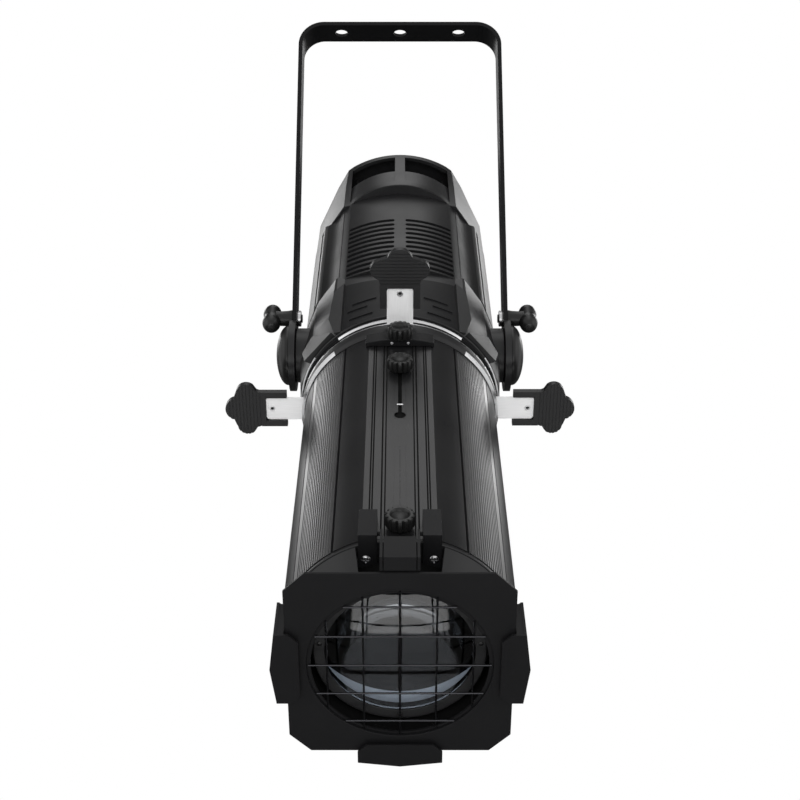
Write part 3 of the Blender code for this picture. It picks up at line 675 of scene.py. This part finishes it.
def make_lamp_housing():
    flank = [(56.5, 63.6), (59.4, 61.6), (61.6, 58.8), (64.5, 53.6), (68.5, 48.8), (73.0, 45.4), (77.6, 43.4)]
    flank += [(79.6, 43.0), (81.0, 41.8), (90.6, 16), (92.4, 8), (92.7, 0)]
    outline = body_outline(80.0, 12.4, flank, -78.0, 24)
    obj = solid("housing_lamp", shell([(y, outline, 3.5) for y in (SPLIT_Y + GAP, CAGE_FRONT - GAP)]))
    slots = []
    for row in range(VENT_ROWS):
        y = VENT_FIRST + row * VENT_PITCH
        for low, high in ((-52.5, -5.5), (5.5, 52.5)):
            slots.append(prism(rounded_box(low, high, y - 3.1, y + 3.1, 3.0), 56, 95, "Z"))
    for _, sign in sides():
        slots.append(box(*span(sign, 82.6, 84.4), 30, 216, 30, 45))
    cut(obj, *slots)
    dress(obj, "housing", CAST, "lamp_housing", 0.5, sharp=24)

    channel = [(59.6, 61.4), (61.6, 58.8), (64.5, 53.6), (68.5, 48.8), (73.0, 45.4), (77.4, 43.5)]
    for side, sign in sides():
        over = [(sign * (x + 0.2), z + 0.2) for x, z in channel]
        under = [(sign * (x - 0.3), z - 0.3) for x, z in reversed(channel)]
        obj = solid(f"channel_liner_{side}", prism(over + under, SPLIT_Y + 0.6, CAGE_FRONT - 0.6))
        dress(obj, "housing", LINER, (), 0.0, sharp=50)

    # The louvres under the vent slots are near-black: painted shade seen through the slots.
    louvres = []
    for row in range(VENT_ROWS - 1):
        y = VENT_FIRST + row * VENT_PITCH + 2.1
        for low, high in ((-52, -6), (6, 52)):
            louvres.append(box(low, high, y, y + 1.0, 56, 66.0))
    dress(solid("vent_louvres", merged(*louvres)), "housing", SHADE_BLACK)


def make_rear_cage():
    front = body_outline(90.5, 23.5, [(60.6, 65.5), (78, 40), (91, 14), (92, 0)], -80.0)
    nose = body_outline(90.0, 23.3, [(60.2, 65.1), (77.5, 39.7), (90.4, 14), (91.4, 0)], -79.5)
    shoulder = body_outline(87.0, 21, [(60.3, 63), (79, 37), (90.5, 14), (91.5, 0)], -80.0)
    obj = solid("cage", shell([
        (CAGE_FRONT, nose, 12.5), (CAGE_FRONT + 1, front, 13), (CAGE_FRONT + 3.5, front, 13),
        (CAGE_FRONT + 4, front, 3.5), (285.0, shoulder, 3.5), (CAGE_REAR, cage_back(), 3.5),
    ]))
    windows = [box(low, high, 228, 324, 55, 100) for low, high in ((-54, -5.5), (5.5, 54))]
    for low, high in ((-50, -30), (-22, -4), (4, 22), (30, 50)):
        windows.append(box(low, high, 236, 322, -100, -60))
    for _, sign in sides():
        for low, high in ((8, 13), (-13, -8)):
            windows.append(box(*span(sign, 70, 100), 296, 326, low, high))
    cut(obj, *windows)
    loop = [(-12.0, -76.5)] + arc((0, -88), 12, 180, 360, 24) + [(12.0, -76.5)]
    loop += [(7.0, -76.5)] + arc((0, -88), 7, 360, 180, 24) + [(-7.0, -76.5)]
    join(obj, prism(loop, 222, 228))
    dress(obj, "housing", CAST, "rear_cage", 0.6, sharp=24)

    tray = band(crown(86.6, 21.0, 54.6, 20), 2.5)
    rings = [[(x, y, z - fall) for x, z in tray] for y, fall in ((222.0, 0.0), (277.0, 3.4))]
    dress(solid("cage_tray", loft(rings)), "housing", CAST, (), 0.4)
    # Fins behind the cage windows in near-black: painted shade seen through the windows.
    fins = [box(x - 0.8, x + 0.8, 280, 321, 52, 66 - abs(x) * 0.2) for x in range(-48, 49, 8) if x]
    dress(solid("cage_fins", merged(*fins)), "housing", SHADE_BLACK)


def cross_screw(radius, height):
    """Pan-head screw standing up +Z from the origin, and the cross recess to cut from it."""
    steps = 8
    profile = [(0, -0.6), (radius, -0.6)]
    for i in range(steps):
        t = math.pi / 2 * i / steps
        profile.append((radius * math.cos(t), height * math.sin(t)))
    head = turned(profile + [(0, height)], "Z", steps=28)
    long, wide = radius * 0.62, 0.35
    recess = merged(*[box(-a, a, -b, b, height * 0.35, height + 1) for a, b in ((long, wide), (wide, long))])
    return head, recess


def make_screws(name, places, body, radius=2.4, height=1.3, mat=SCREW):
    """One piece of several screws, each at (point, direction it faces) in the head's frame."""
    shapes = []
    for point, facing in places:
        head, recess = cross_screw(radius, height)
        one = solid("one_screw", head, WORLD)
        boolean(one, recess, "DIFFERENCE", WORLD, tidy_self=True)
        turn = Vector(facing).to_track_quat("Z", "Y").to_matrix().to_4x4()
        place = Matrix.Translation(point) @ turn
        points = [place @ (v.co / MM) for v in one.data.vertices]
        shapes.append((points, [list(f.vertices) for f in one.data.polygons]))
        mesh = one.data
        bpy.data.objects.remove(one)
        bpy.data.meshes.remove(mesh)
    dress(solid(name, merged(*shapes)), body, mat)


SOCKETS = (
    ("power_inlet", -34, 6),
    ("power_outlet", 34, 6),
    ("data_inlet", -34, -34),
    ("data_outlet", 34, -34),
)
BUTTONS = (("menu_button", -27), ("up_button", -9), ("down_button", 9), ("enter_button", 27))
BUTTON_Z = 30.0


def socket_core(name, x, z, low, high):
    """What stands inside a socket: a round plug and a key for power, three pins and a key for data."""
    if name.startswith("power"):
        key = box(x - 9.6, x - 5.5, low - 12, high - 4, z - 1.5, z + 1.5)
        return [rod(6.0, low - 12, high - 3, "Y", (x, z), 40), key]
    core = []
    for degrees in (90, 210, 330):
        t = math.radians(degrees)
        core.append(rod(1.3, low - 12, high - 5, "Y", (x + 4.6 * math.cos(t), z + 4.6 * math.sin(t)), 16))
    return core + [box(x - 1.5, x + 1.5, low - 12, high - 4, z - 9.6, z - 7.6)]


def make_rear_panel():
    inset = [(x * 0.97, z * 0.97) for x, z in cage_back()]
    low, high = CAGE_REAR + GAP, CAGE_REAR + 3.5
    through = (low - 5, high + 5)
    obj = solid("panel_rear", prism(inset, low, high))
    holes = [rod(12.3, *through, "Y", (x, z), 48) for _, x, z in SOCKETS]
    holes += [rod(4.3, *through, "Y", (x, BUTTON_Z)) for _, x in BUTTONS]
    holes.append(box(-24, 24, *through, 40, 56))
    cut(obj, *holes)
    dress(obj, "housing", CAST, "rear_panel", 0.5)

    obj = solid("display_bezel", prism(rounded_box(-27, 27, 37.4, 58.6, 2.5), high + 0.1, high + 1.3))
    cut(obj, prism(rounded_box(-23.4, 23.4, 40.6, 55.4, 1.5), high - 2, high + 5))
    dress(obj, "housing", PLASTIC, (), 0.3)

    for name, x, z in SOCKETS:
        flange = rounded_box(x - 13, x + 13, z - 15.5, z + 15.5, 3)
        obj = solid(f"{name}_body", prism(flange, high + GAP, high + 2.3))
        join(obj, rod(12.0, low - 15, high + 1.5, "Y", (x, z), 48))
        cut(obj, rod(9.5, low - 11, high + 5, "Y", (x, z), 48))
        join(obj, *socket_core(name, x, z, low, high))
        dress(obj, "housing", PLASTIC, name, 0.3)
        corners = [((x + a, high + 2.2, z + b), (0, 1, 0)) for a, b in ((-10, -12.5), (10, 12.5))]
        make_screws(f"{name}_screws", corners, "housing", 1.9, 1.0)
    cap = [(0, low - 3), (4.0, low - 3), (4.0, high + 2.2)]
    cap += [(3.5, high + 2.9), (2.6, high + 3.15), (0, high + 3.0)]
    for name, x in BUTTONS:
        obj = solid(f"{name}_cap", turned(cap, "Y", (x, BUTTON_Z), 40))
        dress(obj, name, RUBBER, name)
    rim = ((-64, 40), (64, 40), (-70, -30), (70, -30), (0, 68), (0, -66))
    make_screws("panel_screws", [((x, high, z), (0, 1, 0)) for x, z in rim], "housing", 2.2, 1.1)


# ---------------------------------------------------------------- gate, shutters


def arcs(body, *rows):
    """Bright arcs on each flank, painted highlights on the dark rings. A row holds a name, a profile and two
    angles from +Z.
    """
    for side, sign in sides():
        for name, profile, near, far in rows:
            obj = solid(f"{name}_{side}", sector(profile, *span(sign, near, far)))
            dress(obj, body, BRIGHT_AND_HIGHLIGHT)


def make_gate():
    rear = [(38, -97.4), (86.5, -97.4), (86.5, -96.2), (88.6, -95.9)]
    rear += [(88.6, -93.9), (70, -93.9), (70, -96.2), (38, -96.2)]
    dress(solid("gate_back", turned(rear)), "barrel", SHEET, "gate_rear_plate", 0.2)
    front = solid("gate_front", ring(87.5, 38, -104.6, -103.4))
    across = 80.5 / math.sqrt(2)
    posts = [rod(3.5, -104.0, -97.7, "Y", (a, b), 24) for a in (-across, across) for b in (-across, across)]
    join(front, *posts)
    dress(front, "barrel", BRIGHT_AND_HIGHLIGHT, "gate_front_plate", 0.15)
    collar = [(74, -104.9), (87.2, -104.9), (88, -105.7), (88, -116.4)]
    collar += [(87.5, -117.3), (86.2, -121), (74, -121)]
    dress(solid("collar", turned(collar)), "barrel", CAST, "gate_collar", 0.15)

    edge = [(85.9, -116.6), (88.3, -116.6), (88.1, -117.6), (86.3, -121.1), (85.9, -121.1)]
    bead = [(87.5, -105.3), (88.3, -105.3), (88.4, -106.0), (88.3, -106.8), (87.5, -106.8)]
    # Bright arcs on the collar's edge and bead: painted highlights.
    arcs("barrel", ("collar_edge_highlight", edge, 41, 93), ("collar_bead_highlight", bead, 50, 94))
    # Bright sector across the top of the gate: a painted highlight.
    rim = [(86.0, -100.0), (87.8, -100.6), (89.3, -99.2), (89.3, -98.2), (86.0, -98.2)]
    dress(solid("gate_rim_highlight", sector(rim, -38, 38)), "barrel", BRIGHT_AND_HIGHLIGHT)
    bezel = [(78, -93.6), (89.4, -93.6), (90, -93.0), (90, -92.3), (78, -92.3)]
    dress(solid("bezel", turned(bezel)), "housing", CAST, "front_bezel_ring", 0.0)
    line = [(89.2, -93.9), (89.9, -93.9), (90.3, -93.4), (90.3, -92.8), (89.2, -92.8)]
    # Bright arc on the bezel's edge: painted highlight.
    arcs("housing", ("bezel_highlight", line, 58, 100))


def handle_outline():
    """Broad grip with three round lobes, its foot wide enough for the blade's stem."""
    right = [(17.6, 102.5), (17.6, 127.5), (18.6, 130.0)]
    right += arc((16.6, 139.0), 9.1, -42, 78, 12)
    right += arc((0, 147.2), 11.3, 18, 90, 10)
    return mirrored(right)


def make_shutter(side, turn_deg, level):
    """Blade and handle, drawn for the top one and turned round the beam. level counts from the front."""
    place = HEAD @ Matrix.Rotation(math.radians(turn_deg), 4, "Y")
    front = BLADE_FRONT + level * BLADE_PITCH
    back = front + BLADE_THICK
    right = [(30, -10.0), (30, 22.0), (11.5, 28.0), (11.5, 118.5), (10.9, 120.4), (9.3, 121.5)]
    body = f"shutter_{side}"
    blade = solid(f"blade_{side}", prism(mirrored(right), front, back), place)
    cut(blade, rod(1.6, front - 5, back + 5, "Y", (0, RIVET_Z), 24), frame_matrix=place)
    grain = BLADE_UP if side in ("top", "bottom") else BLADE_ACROSS
    dress(blade, body, grain, f"shutter_blade_{side}", 0.12)
    eyelet = ring(2.6, 1.5, front - 0.5, front + 0.1, "Y", (0, RIVET_Z), 32)
    dress(solid(f"rivet_{side}", eyelet, place), body, SCREW, (), 0.15)

    handle = solid(f"handle_{side}", prism(handle_outline(), front - 2.2, back + 2.8), place)
    cut(handle, box(-11.8, 11.8, front - 10, back + GAP, 90, 121.8), frame_matrix=place)
    ribs = [box(-30, 30, front - 5, front - 1.55, 126.0 + 3.1 * i, 127.0 + 3.1 * i) for i in range(10)]
    cut(handle, *ribs, frame_matrix=place)
    dress(handle, body, HANDLE, f"shutter_handle_{side}", 0.45)


# ---------------------------------------------------------------- barrel


def polar(degrees, radius=TUBE_R):
    return radius * math.sin(math.radians(degrees)), radius * math.cos(math.radians(degrees))


def groove(middle, wide, deep):
    floor = TUBE_R - deep
    return [
        polar(middle - wide), polar(middle - wide * 0.5, floor),
        polar(middle + wide * 0.5, floor), polar(middle + wide),
    ]


def ribbing(first):
    """Fifteen fine grooves side by side, from the angle first on."""
    points = []
    for i in range(15):
        middle = first + 1.55 * i
        points += [polar(middle - 0.42), polar(middle, TUBE_R - 0.42), polar(middle + 0.42)]
    return points


def tube_half():
    """Right half of the extrusion's outside, from the rail's middle round to the bottom."""
    level = CHANNEL_Z
    half = [(0.0, level)]
    for low, high in RAIL_GROOVES:
        half += [(low - 0.1, level), (low, GROOVE_Z), (high, GROOVE_Z), (high + 0.1, RAIL_Z)]
        level = RAIL_Z
    half += [(RAIL_HALF, RAIL_Z), (RAIL_HALF + 0.2, 81.2)]
    half += [polar(a) for a in range(20, 33, 2)] + groove(33.6, 0.7, 1.7)
    half += ribbing(36.0) + groove(62.2, 0.45, 1.2)
    half += [polar(a, TUBE_R - 0.5) for a in range(63, 80, 4)] + [polar(80.0)]
    half += [polar(a) for a in range(84, 118, 4)] + groove(120, 0.5, 1.0)
    half += ribbing(124.0)
    return half + [polar(a) for a in range(149, 180, 3)] + [(0.0, -TUBE_R)]


def make_tube():
    outline = mirrored(tube_half())
    outer = [[(x, y, z) for x, z in outline] for y in (TUBE_FRONT, TUBE_REAR)]
    inner = []
    for y in (TUBE_REAR, TUBE_FRONT):
        inner.append([(x * BORE_R / math.hypot(x, z), y, z * BORE_R / math.hypot(x, z)) for x, z in outline])
    obj = solid("barrel_tube", loft(outer + inner, closed=True))
    cut(obj, *[box(-SLOT_HALF, SLOT_HALF, low, high, 70, 90) for low, high in (ZOOM_SLOT, FOCUS_SLOT)])
    dress(obj, "barrel", TUBE, "lens_tube", 0.0, sharp=14)

    # Near-black strips filling the rail's grooves nearly flush: painted shade for the grooves' dark lines
    low_y, high_y = TUBE_FRONT + 0.3, TUBE_REAR - 0.3
    groove_shade = []
    for low, high in RAIL_GROOVES:
        for x0, x1 in ((low, high), (-high, -low)):
            groove_shade.append(box(x0 + 0.02, x1 - 0.02, low_y, high_y, GROOVE_Z + 0.05, 81.7))
    dress(solid("rail_groove_shade", merged(*groove_shade)), "barrel", SHADE_BLACK)

    # Smooth dark strip along each side
    strip = [(85.0, low_y), (85.45, low_y), (85.45, high_y), (85.0, high_y)]
    for side, sign in sides():
        obj = solid(f"side_strip_{side}", sector(strip, *span(sign, 62.8, 79.8), 12))
        dress(obj, "barrel", HANDLE)


def make_slot_lips():
    """Lips that close the zoom slot but for a narrow slit and the keyhole it ends in, and the focus slot."""
    reach = SLOT_HALF - 0.05
    for side, sign in sides():
        obj = solid(f"slot_lip_{side}", box(*span(sign, 1.5, reach), -255.5, -168.5, *SLOT_LIP))
        cut(obj, rod(4.75, 75, 85, "Z", (0, -251.0), 40))
        dress(obj, "barrel", TUBE)
        obj = solid(f"slot_brush_{side}", box(*span(sign, 0.08, reach), FOCUS_Y - 5.5, -298.05, *SLOT_LIP))
        dress(obj, "barrel", TUBE)
    # Near-black floor under the zoom slot: painted shade seen in the slit and the keyhole.
    obj = solid("slot_shade_floor", box(-7, 7, -258, -166, 79.72, 79.95))
    dress(obj, "barrel", SHADE_BLACK)
    pin = solid("slot_pin", box(-2.6, 2.6, -236.0, -234.2, CHANNEL_Z, CHANNEL_Z + 0.7))
    dress(pin, "barrel", SCREW, (), 0.3)


def make_end_cap():
    skirt = [(77.0, -446.0), (84.2, -424.4), (82.0, -424.4), (75.0, -446.0)]
    for side, sign in sides():
        obj = solid(f"holder_skirt_{side}", sector(skirt, *span(sign, 21.5, 50)))
        dress(obj, "barrel", CAST, (), 0.3)
    # Collar inside the frame holder in near-black: painted shade for the dark inner wall.
    collar = ring(68.2, 66.2, -451.6, -424.3)
    dress(solid("holder_collar", collar), "barrel", SHADE_BLACK)

    profile = [(63, -424), (84.4, -424), (85, -423.4), (85, -420.8)]
    profile += [(80.2, -420.8), (80.2, -412), (63, -412)]
    obj = solid("end_cap", turned(profile))
    cut(obj, box(-5.5, 5.5, -420, -405, 60, 81))
    cut(obj, box(-40, 40, -430, -405, RAIL_Z, 95))
    dress(obj, "barrel", CAST, "front_end_cap", 0.3)


def make_carriage(name, knob_y, front, rear, sleeve_r, lens_r, glass):
    bore = sleeve_r - 4
    lip = lens_r - 0.8
    profile = [(lip, front), (sleeve_r - 0.8, front), (sleeve_r, front + 0.8), (sleeve_r, rear - 5)]
    profile += [(79.5, rear - 5), (79.5, rear), (bore, rear), (bore, front + 1.6), (lip, front + 1.6)]
    obj = solid(f"{name}_cell", turned(profile))
    at = (0, knob_y)
    join(obj, rod(4.0, bore + 2, 79.4, "Z", at, 32), rod(1.35, 75, RAIL_Z + 1.6, "Z", at, 24))
    dress(obj, f"{name}_carriage", CAST, f"{name}_lens_carriage", 0.3)

    steps = 24
    face, back = [], []
    for i in range(steps + 1):
        out = i / steps
        swell = LENS_BULGE * (1 - out ** 2)
        face.append((lens_r * out, front + 2.0 - swell))
        back.append((lens_r * out, front + 8.0 + swell))
    obj = solid(f"{name}_glass", turned(face + back[::-1], steps=128))
    dress(obj, f"{name}_carriage", glass, f"{name}_lens", 0.0, sharp=40)


def make_cell_details():
    """Pale crescent low in the front lens cell, a painted reflection seen through the lens, and the screws
    round the lens.
    """
    crescent = arc((0, 0), 52.0, 204, 336, 40) + arc((0, 26.6), 67.6, 312, 228, 30)
    # Pale crescent plate behind the lens: painted reflection.
    bevel = solid("cell_painted_reflection", prism(crescent, -424.6, -424.2))
    dress(bevel, "front_carriage", REFLECTION_PALE)
    spots = []
    for degrees in (8, 90, 172, 270):
        t = math.radians(degrees)
        spots.append(((57.2 * math.cos(t), FRONT_CELL[0] + 0.1, 57.2 * math.sin(t)), (0, -1, 0)))
    make_screws("lens_cell_screws", spots, "front_carriage", 2.0, 0.9, PLASTIC)


def make_knob(name, y, base):
    """Fluted knob with a dished top."""
    flutes, per = 14, 8

    def ring_at(radius, z, depth=0.0):
        out = []
        for i in range(flutes * per):
            t = 2 * math.pi * i / (flutes * per)
            r = radius - depth * max(0.0, math.cos(flutes * t)) ** 1.5
            out.append((r * math.cos(t), y + r * math.sin(t), z))
        return out

    top = base + KNOB_HEIGHT
    outside = [
        (8.6, base, 0.0), (KNOB_R - 0.4, base + 0.3, 1.2), (KNOB_R, base + 1.2, 1.5),
        (KNOB_R, top - 0.9, 1.5), (KNOB_R - 0.4, top - 0.2, 1.3), (KNOB_R - 1.0, top, 1.0),
    ]
    dish = [(7.4, top), (7.0, top - 0.4), (6.2, top - 2.2), (4.2, top - 3.3), (0.4, top - 3.7)]
    obj = solid(f"{name}_grip", loft([ring_at(*level) for level in outside + dish]))
    dress(obj, name, PLASTIC, name, 0.0, sharp=36)


def make_lock_bracket():
    half = 29.4
    shoulder = math.sqrt((TUBE_R + GAP) ** 2 - half ** 2) + 0.2
    outline = arched(crown(89.0, 3.6, half, 12))
    outline += [(half, shoulder), (25.5, RAIL_Z + GAP), (-25.5, RAIL_Z + GAP), (-half, shoulder)]
    obj = solid("lock_saddle", prism(outline, -137, TUBE_REAR))
    dress(obj, "barrel", SHEET, "lock_bracket", 0.5)
    spots = [((x, -137.0, 85.4), (0, -1, 0)) for x in (-7, 7)]
    make_screws("saddle_screws", spots, "barrel", 1.3, 0.7)


# ---------------------------------------------------------------- front end


def make_lip(side, turn_deg):
    """Folded lip that holds the frame, drawn at +X and turned round the beam."""
    turn = Matrix.Rotation(math.radians(turn_deg), 4, "Y")
    front, foot = PLATE_Y - 5, -424.3
    web, peak, half = 90.5, 3.8, 30.5
    edge = web - peak
    ridge = [(edge, -half), (web, 0), (edge, half)]
    inner = [(x - 2, z) for x, z in reversed(ridge)]
    obj = solid(f"lip_{side}", moved(prism(ridge + inner, front, foot), turn))
    back = [(edge - 1, half), (web - 1, 0)]
    tongue = [(edge - 1, -half), (76.7, -half), (70, -24), (70, 24), (76.7, half)] + back
    join(obj, moved(prism(tongue, front, front + 2), turn))
    base = [(74.5, -24), (74.5, 24)] + back + [(edge - 1, -half)]
    join(obj, moved(prism(base, foot - 2, foot), turn))
    if side != "bottom":
        end = 1 if side == "right" else -1
        wall = span(end, half - 0.6, half - 2.2)
        join(obj, moved(box(79.8, edge, front + 1, foot - 1, *wall), turn))
    dress(obj, "barrel", SHEET, f"frame_lip_{side}", 0.5)


def make_color_frame():
    half, cham = PLATE_HALF, PLATE_CHAMFER
    outline = []
    for quarter in range(4):
        turn = Matrix.Rotation(math.radians(90 * quarter), 2)
        outline += [tuple(turn @ Vector(p)) for p in ((half, half - cham), (half - cham, half))]
    rear = PLATE_Y + 2
    obj = solid("frame_plate", prism(outline, PLATE_Y, rear))
    cut(obj, rod(PLATE_OPENING, PLATE_Y - 5, rear + 5, steps=128))
    dress(obj, "barrel", SHEET, "color_frame", 0.35)


def wire(start, stop):
    """Round wire between two points."""
    start, stop = Vector(start), Vector(stop)
    turn = (stop - start).to_track_quat("Z", "Y").to_matrix().to_4x4()
    straight = rod(0.75, 0, (stop - start).length, "Z", steps=14)
    return moved(straight, Matrix.Translation(start) @ turn)


def make_guard():
    level = PLATE_Y + 2.3
    low = GUARD_DROP
    rim = [(62.4, level), (71, level), (71, level + 1.6), (62.4, level + 1.6)]
    rim = solid("guard_rim", turned(rim, "Y", (0, low), 96))
    dress(rim, "barrel", SHEET, "wire_guard")
    shapes = []
    for i in range(-2, 3):
        at = GUARD_PITCH * i
        reach = math.sqrt(64.0 ** 2 - at * at)
        shapes.append(wire((at, level - 0.15, low - reach), (at, level - 0.15, low + reach)))
        shapes.append(wire((-reach, level - 0.85, low + at), (reach, level - 0.85, low + at)))
    wires = solid("guard_wires", merged(*shapes))
    dress(wires, "barrel", WIRE, "wire_guard", 0.0, sharp=40)


def make_clip():
    front_of_block = -427.4
    for side, sign in sides():
        low, high = span(sign, 15.8, 28.8)
        obj = solid(f"clip_block_{side}_body", box(low, high, front_of_block, -396, RAIL_Z + GAP, 90.4))
        join(obj, box(low, high, front_of_block, -424.3, 62.6, 86))
        cut(obj, rod(1.8, low - 5, high + 5, "X", HINGE, 24))
        dress(obj, "barrel", SHEET, f"clip_block_{side}", 0.35)
    spots = [((sign * 23.5, front_of_block, 70.0), (0, -1, 0)) for _, sign in sides()]
    make_screws("clip_screws", spots, "barrel", 3.4, 1.6)

    y, z = HINGE
    front, back, top = PLATE_Y - 1, -433.0, 93.5
    half = 13.6
    obj = solid("clip", box(-half, half, front, back, top - 1.6, top))
    join(obj, box(-half, half, front, front + 1.6, 82.6, top - 0.5))
    join(obj, box(-half, half, back - 6, back, top - 3.2, top - 1))
    cheek = [(front, 82.6), (y, z - 3.2), (y + 3.2, z), (y + 1.5, z + 3), (back, top), (front, top)]
    for low, high in ((-half, -half + 1.6), (half - 1.6, half)):
        join(obj, prism(cheek, low, high, "X"))
    seams = (-half + 2.3, half - 2.3)
    cut(obj, *[box(x - 0.35, x + 0.35, front - 2, back + 1, 81, top + 1) for x in seams])
    for low, high in ((-27.0, -half + 1), (half - 1, 27.0)):
        join(obj, rod(1.5, low, high, "X", HINGE, 24))
    dress(obj, "frame_clip", SHEET, "frame_clip", 0.35)


# ---------------------------------------------------------------- inside


def dress_inner_nodes():
    """CAD nodes deep inside keep their shape and get a real surface."""
    # condenser_holder takes the near-black painted shade.
    looks = {
        "heat_sink": ALUMINIUM, "led_module": PHOSPHOR, "condenser_lens": GLASS, "condenser_holder": SHADE_BLACK,
        "driver_board": BOARD, "fan_frame": PLASTIC, "fan_rotor": PLASTIC, "display_window": WINDOW,
    }
    for node, mat in looks.items():
        mesh = frame["nodes"][node].data
        mesh.materials.clear()
        mesh.materials.append(mat)


def make_diffuser():
    """Opaque plate with painted glints behind the rear lens, for the grey depth seen through the front lens.
    """
    plate = solid("diffuser_plate", rod(48, -178.0, -177.0, "Y", steps=96))
    dress(plate, "rear_carriage", GLINT_SPECKLE)


# ---------------------------------------------------------------- stage


def make_world():
    """Panels that light the object and show in its gloss. The camera itself sees plain white."""
    world = bpy.data.worlds.new("studio")
    bpy.context.scene.world = world
    world.use_nodes = True
    tool = Nodes(world.node_tree)
    tool.nodes.clear()
    way = tool.add("ShaderNodeSeparateXYZ", {"Vector": tool.add("ShaderNodeTexCoord").outputs["Generated"]})
    x, y, z = way.outputs
    side = tool.math("ABSOLUTE", x)

    def between(value, low, high, soft):
        rise = tool.spread(value, 0.0, 1.0, low - soft, low + soft, smooth=True)
        fall = tool.spread(value, 1.0, 0.0, high - soft, high + soft, smooth=True)
        return tool.math("MULTIPLY", rise, fall)

    def panel(strength, *windows):
        """Light where every window (value, from, to, soft edge) is open."""
        out = None
        for window in windows:
            part = between(*window)
            out = part if out is None else tool.math("MULTIPLY", out, part)
        return tool.math("MULTIPLY", out, strength)

    front_box = tool.math("SUBTRACT", y, tool.math("MULTIPLY", side, 0.17))
    panels = [
        # Two boxes high behind the object, for the barrel's long highlights
        panel(5.0, (side, 0.34, 0.56, 0.09), (z, 0.38, 0.60, 0.09), (y, 0.3, 2.0, 0.15)),
        # Walls left and right
        panel(0.6, (side, 0.70, 2.0, 0.08), (z, -0.3, 2.0, 0.2)),
        # Strip overhead
        panel(1.05, (side, -1.0, 0.20, 0.07), (z, 0.82, 2.0, 0.05)),
        # Front
        panel(0.6, (y, -2.0, -0.1, 0.25), (z, -0.42, 2.0, 0.08)),
        # Sharp-edged box low in front, for the patch in the lens
        panel(2.4, (side, -1.0, 0.36, 0.012), (z, -2.0, -0.45, 0.01), (front_box, -2.0, -0.32, 0.012)),
    ]
    total = tool.math("ADD", panels[0], 0.07)
    for one in panels[1:]:
        total = tool.math("ADD", total, one)
    light = tool.add("ShaderNodeBackground", {"Color": (1, 1, 1, 1), "Strength": total})
    seen = tool.add("ShaderNodeBackground", {"Color": (1, 1, 1, 1), "Strength": 1.0})
    ray = tool.add("ShaderNodeLightPath").outputs["Is Camera Ray"]
    mix = tool.add("ShaderNodeMixShader", {"Fac": ray, 1: light.outputs[0], 2: seen.outputs[0]})
    tool.add("ShaderNodeOutputWorld", {"Surface": mix.outputs[0]})


def make_floor():
    """Pale floor under the object, left out of reflections."""
    mesh = bpy.data.meshes.new("floor")
    reach, level = 3.0, -1.7
    corners = [(-reach, -reach, level), (reach, -reach, level), (reach, reach, level), (-reach, reach, level)]
    mesh.from_pydata(corners, [], [(0, 1, 2, 3)])
    floor = linked("floor", mesh)
    mat, tool, shader = new_material("pale_floor")
    tool.feed(shader, {"Base Color": (0.86, 0.86, 0.86, 1), "Roughness": 0.9})
    mesh.materials.append(mat)
    floor.visible_glossy = False


def make_fill_light():
    """Large soft light from the front that adds to matt surfaces without a reflection of its own."""
    data = bpy.data.lights.new("front_fill", "AREA")
    data.shape = "RECTANGLE"
    data.size = 1.6
    data.size_y = 1.2
    data.energy = 30.0
    light = linked("front_fill", data)
    place, aim = Vector((0, -2.6, -0.75)), Vector((0, 0, -0.45))
    turn = (place - aim).to_track_quat("Z", "Y").to_matrix().to_4x4()
    light.matrix_world = Matrix.Translation(place) @ turn
    light.visible_camera = False
    light.visible_glossy = False
    light.visible_transmission = False


def make_camera():
    data = bpy.data.cameras.new("camera")
    data.lens = 64.53
    data.sensor_width = 36.0
    data.clip_end = 50.0
    camera = linked("camera", data)
    ahead = Vector((0, 0.9556, 0.2946)).normalized()
    up = Vector((0, -0.2946, 0.9556)).normalized()
    turn = Matrix((ahead.cross(up), up, -ahead)).transposed().to_4x4()
    camera.matrix_world = Matrix.Translation((0, -1.3176, -0.8105)) @ turn
    bpy.context.scene.camera = camera
    bpy.context.scene.view_settings.view_transform = "Standard"


# ---------------------------------------------------------------- assembly

make_camera()
make_yoke()
for side_name, side_sign in sides():
    make_tilt_hardware(side_name, side_sign)
make_front_housing()
make_top_cover()
make_lamp_housing()
make_rear_cage()
make_rear_panel()
make_gate()
for stack_level, (side_name, side_turn) in enumerate(SHUTTERS):
    make_shutter(side_name, side_turn, stack_level)
make_tube()
make_slot_lips()
make_end_cap()
make_carriage("front", FOCUS_Y, *FRONT_CELL, sleeve_r=61.5, lens_r=54.0, glass=GLASS)
make_cell_details()
make_carriage("rear", ZOOM_Y, *REAR_CELL, sleeve_r=66.0, lens_r=50.0, glass=COATED_GLASS)
make_knob("focus_knob", FOCUS_Y, RAIL_Z + 1.9)
make_knob("zoom_knob", ZOOM_Y, RAIL_Z + 1.9)
make_knob("barrel_lock_knob", LOCK_Y, 89.3)
make_lock_bracket()
for side_name, side_turn in (("right", 0), ("bottom", 90), ("left", 180)):
    make_lip(side_name, side_turn)
make_color_frame()
make_guard()
make_clip()
dress_inner_nodes()
make_diffuser()
make_floor()
make_fill_light()
make_world()
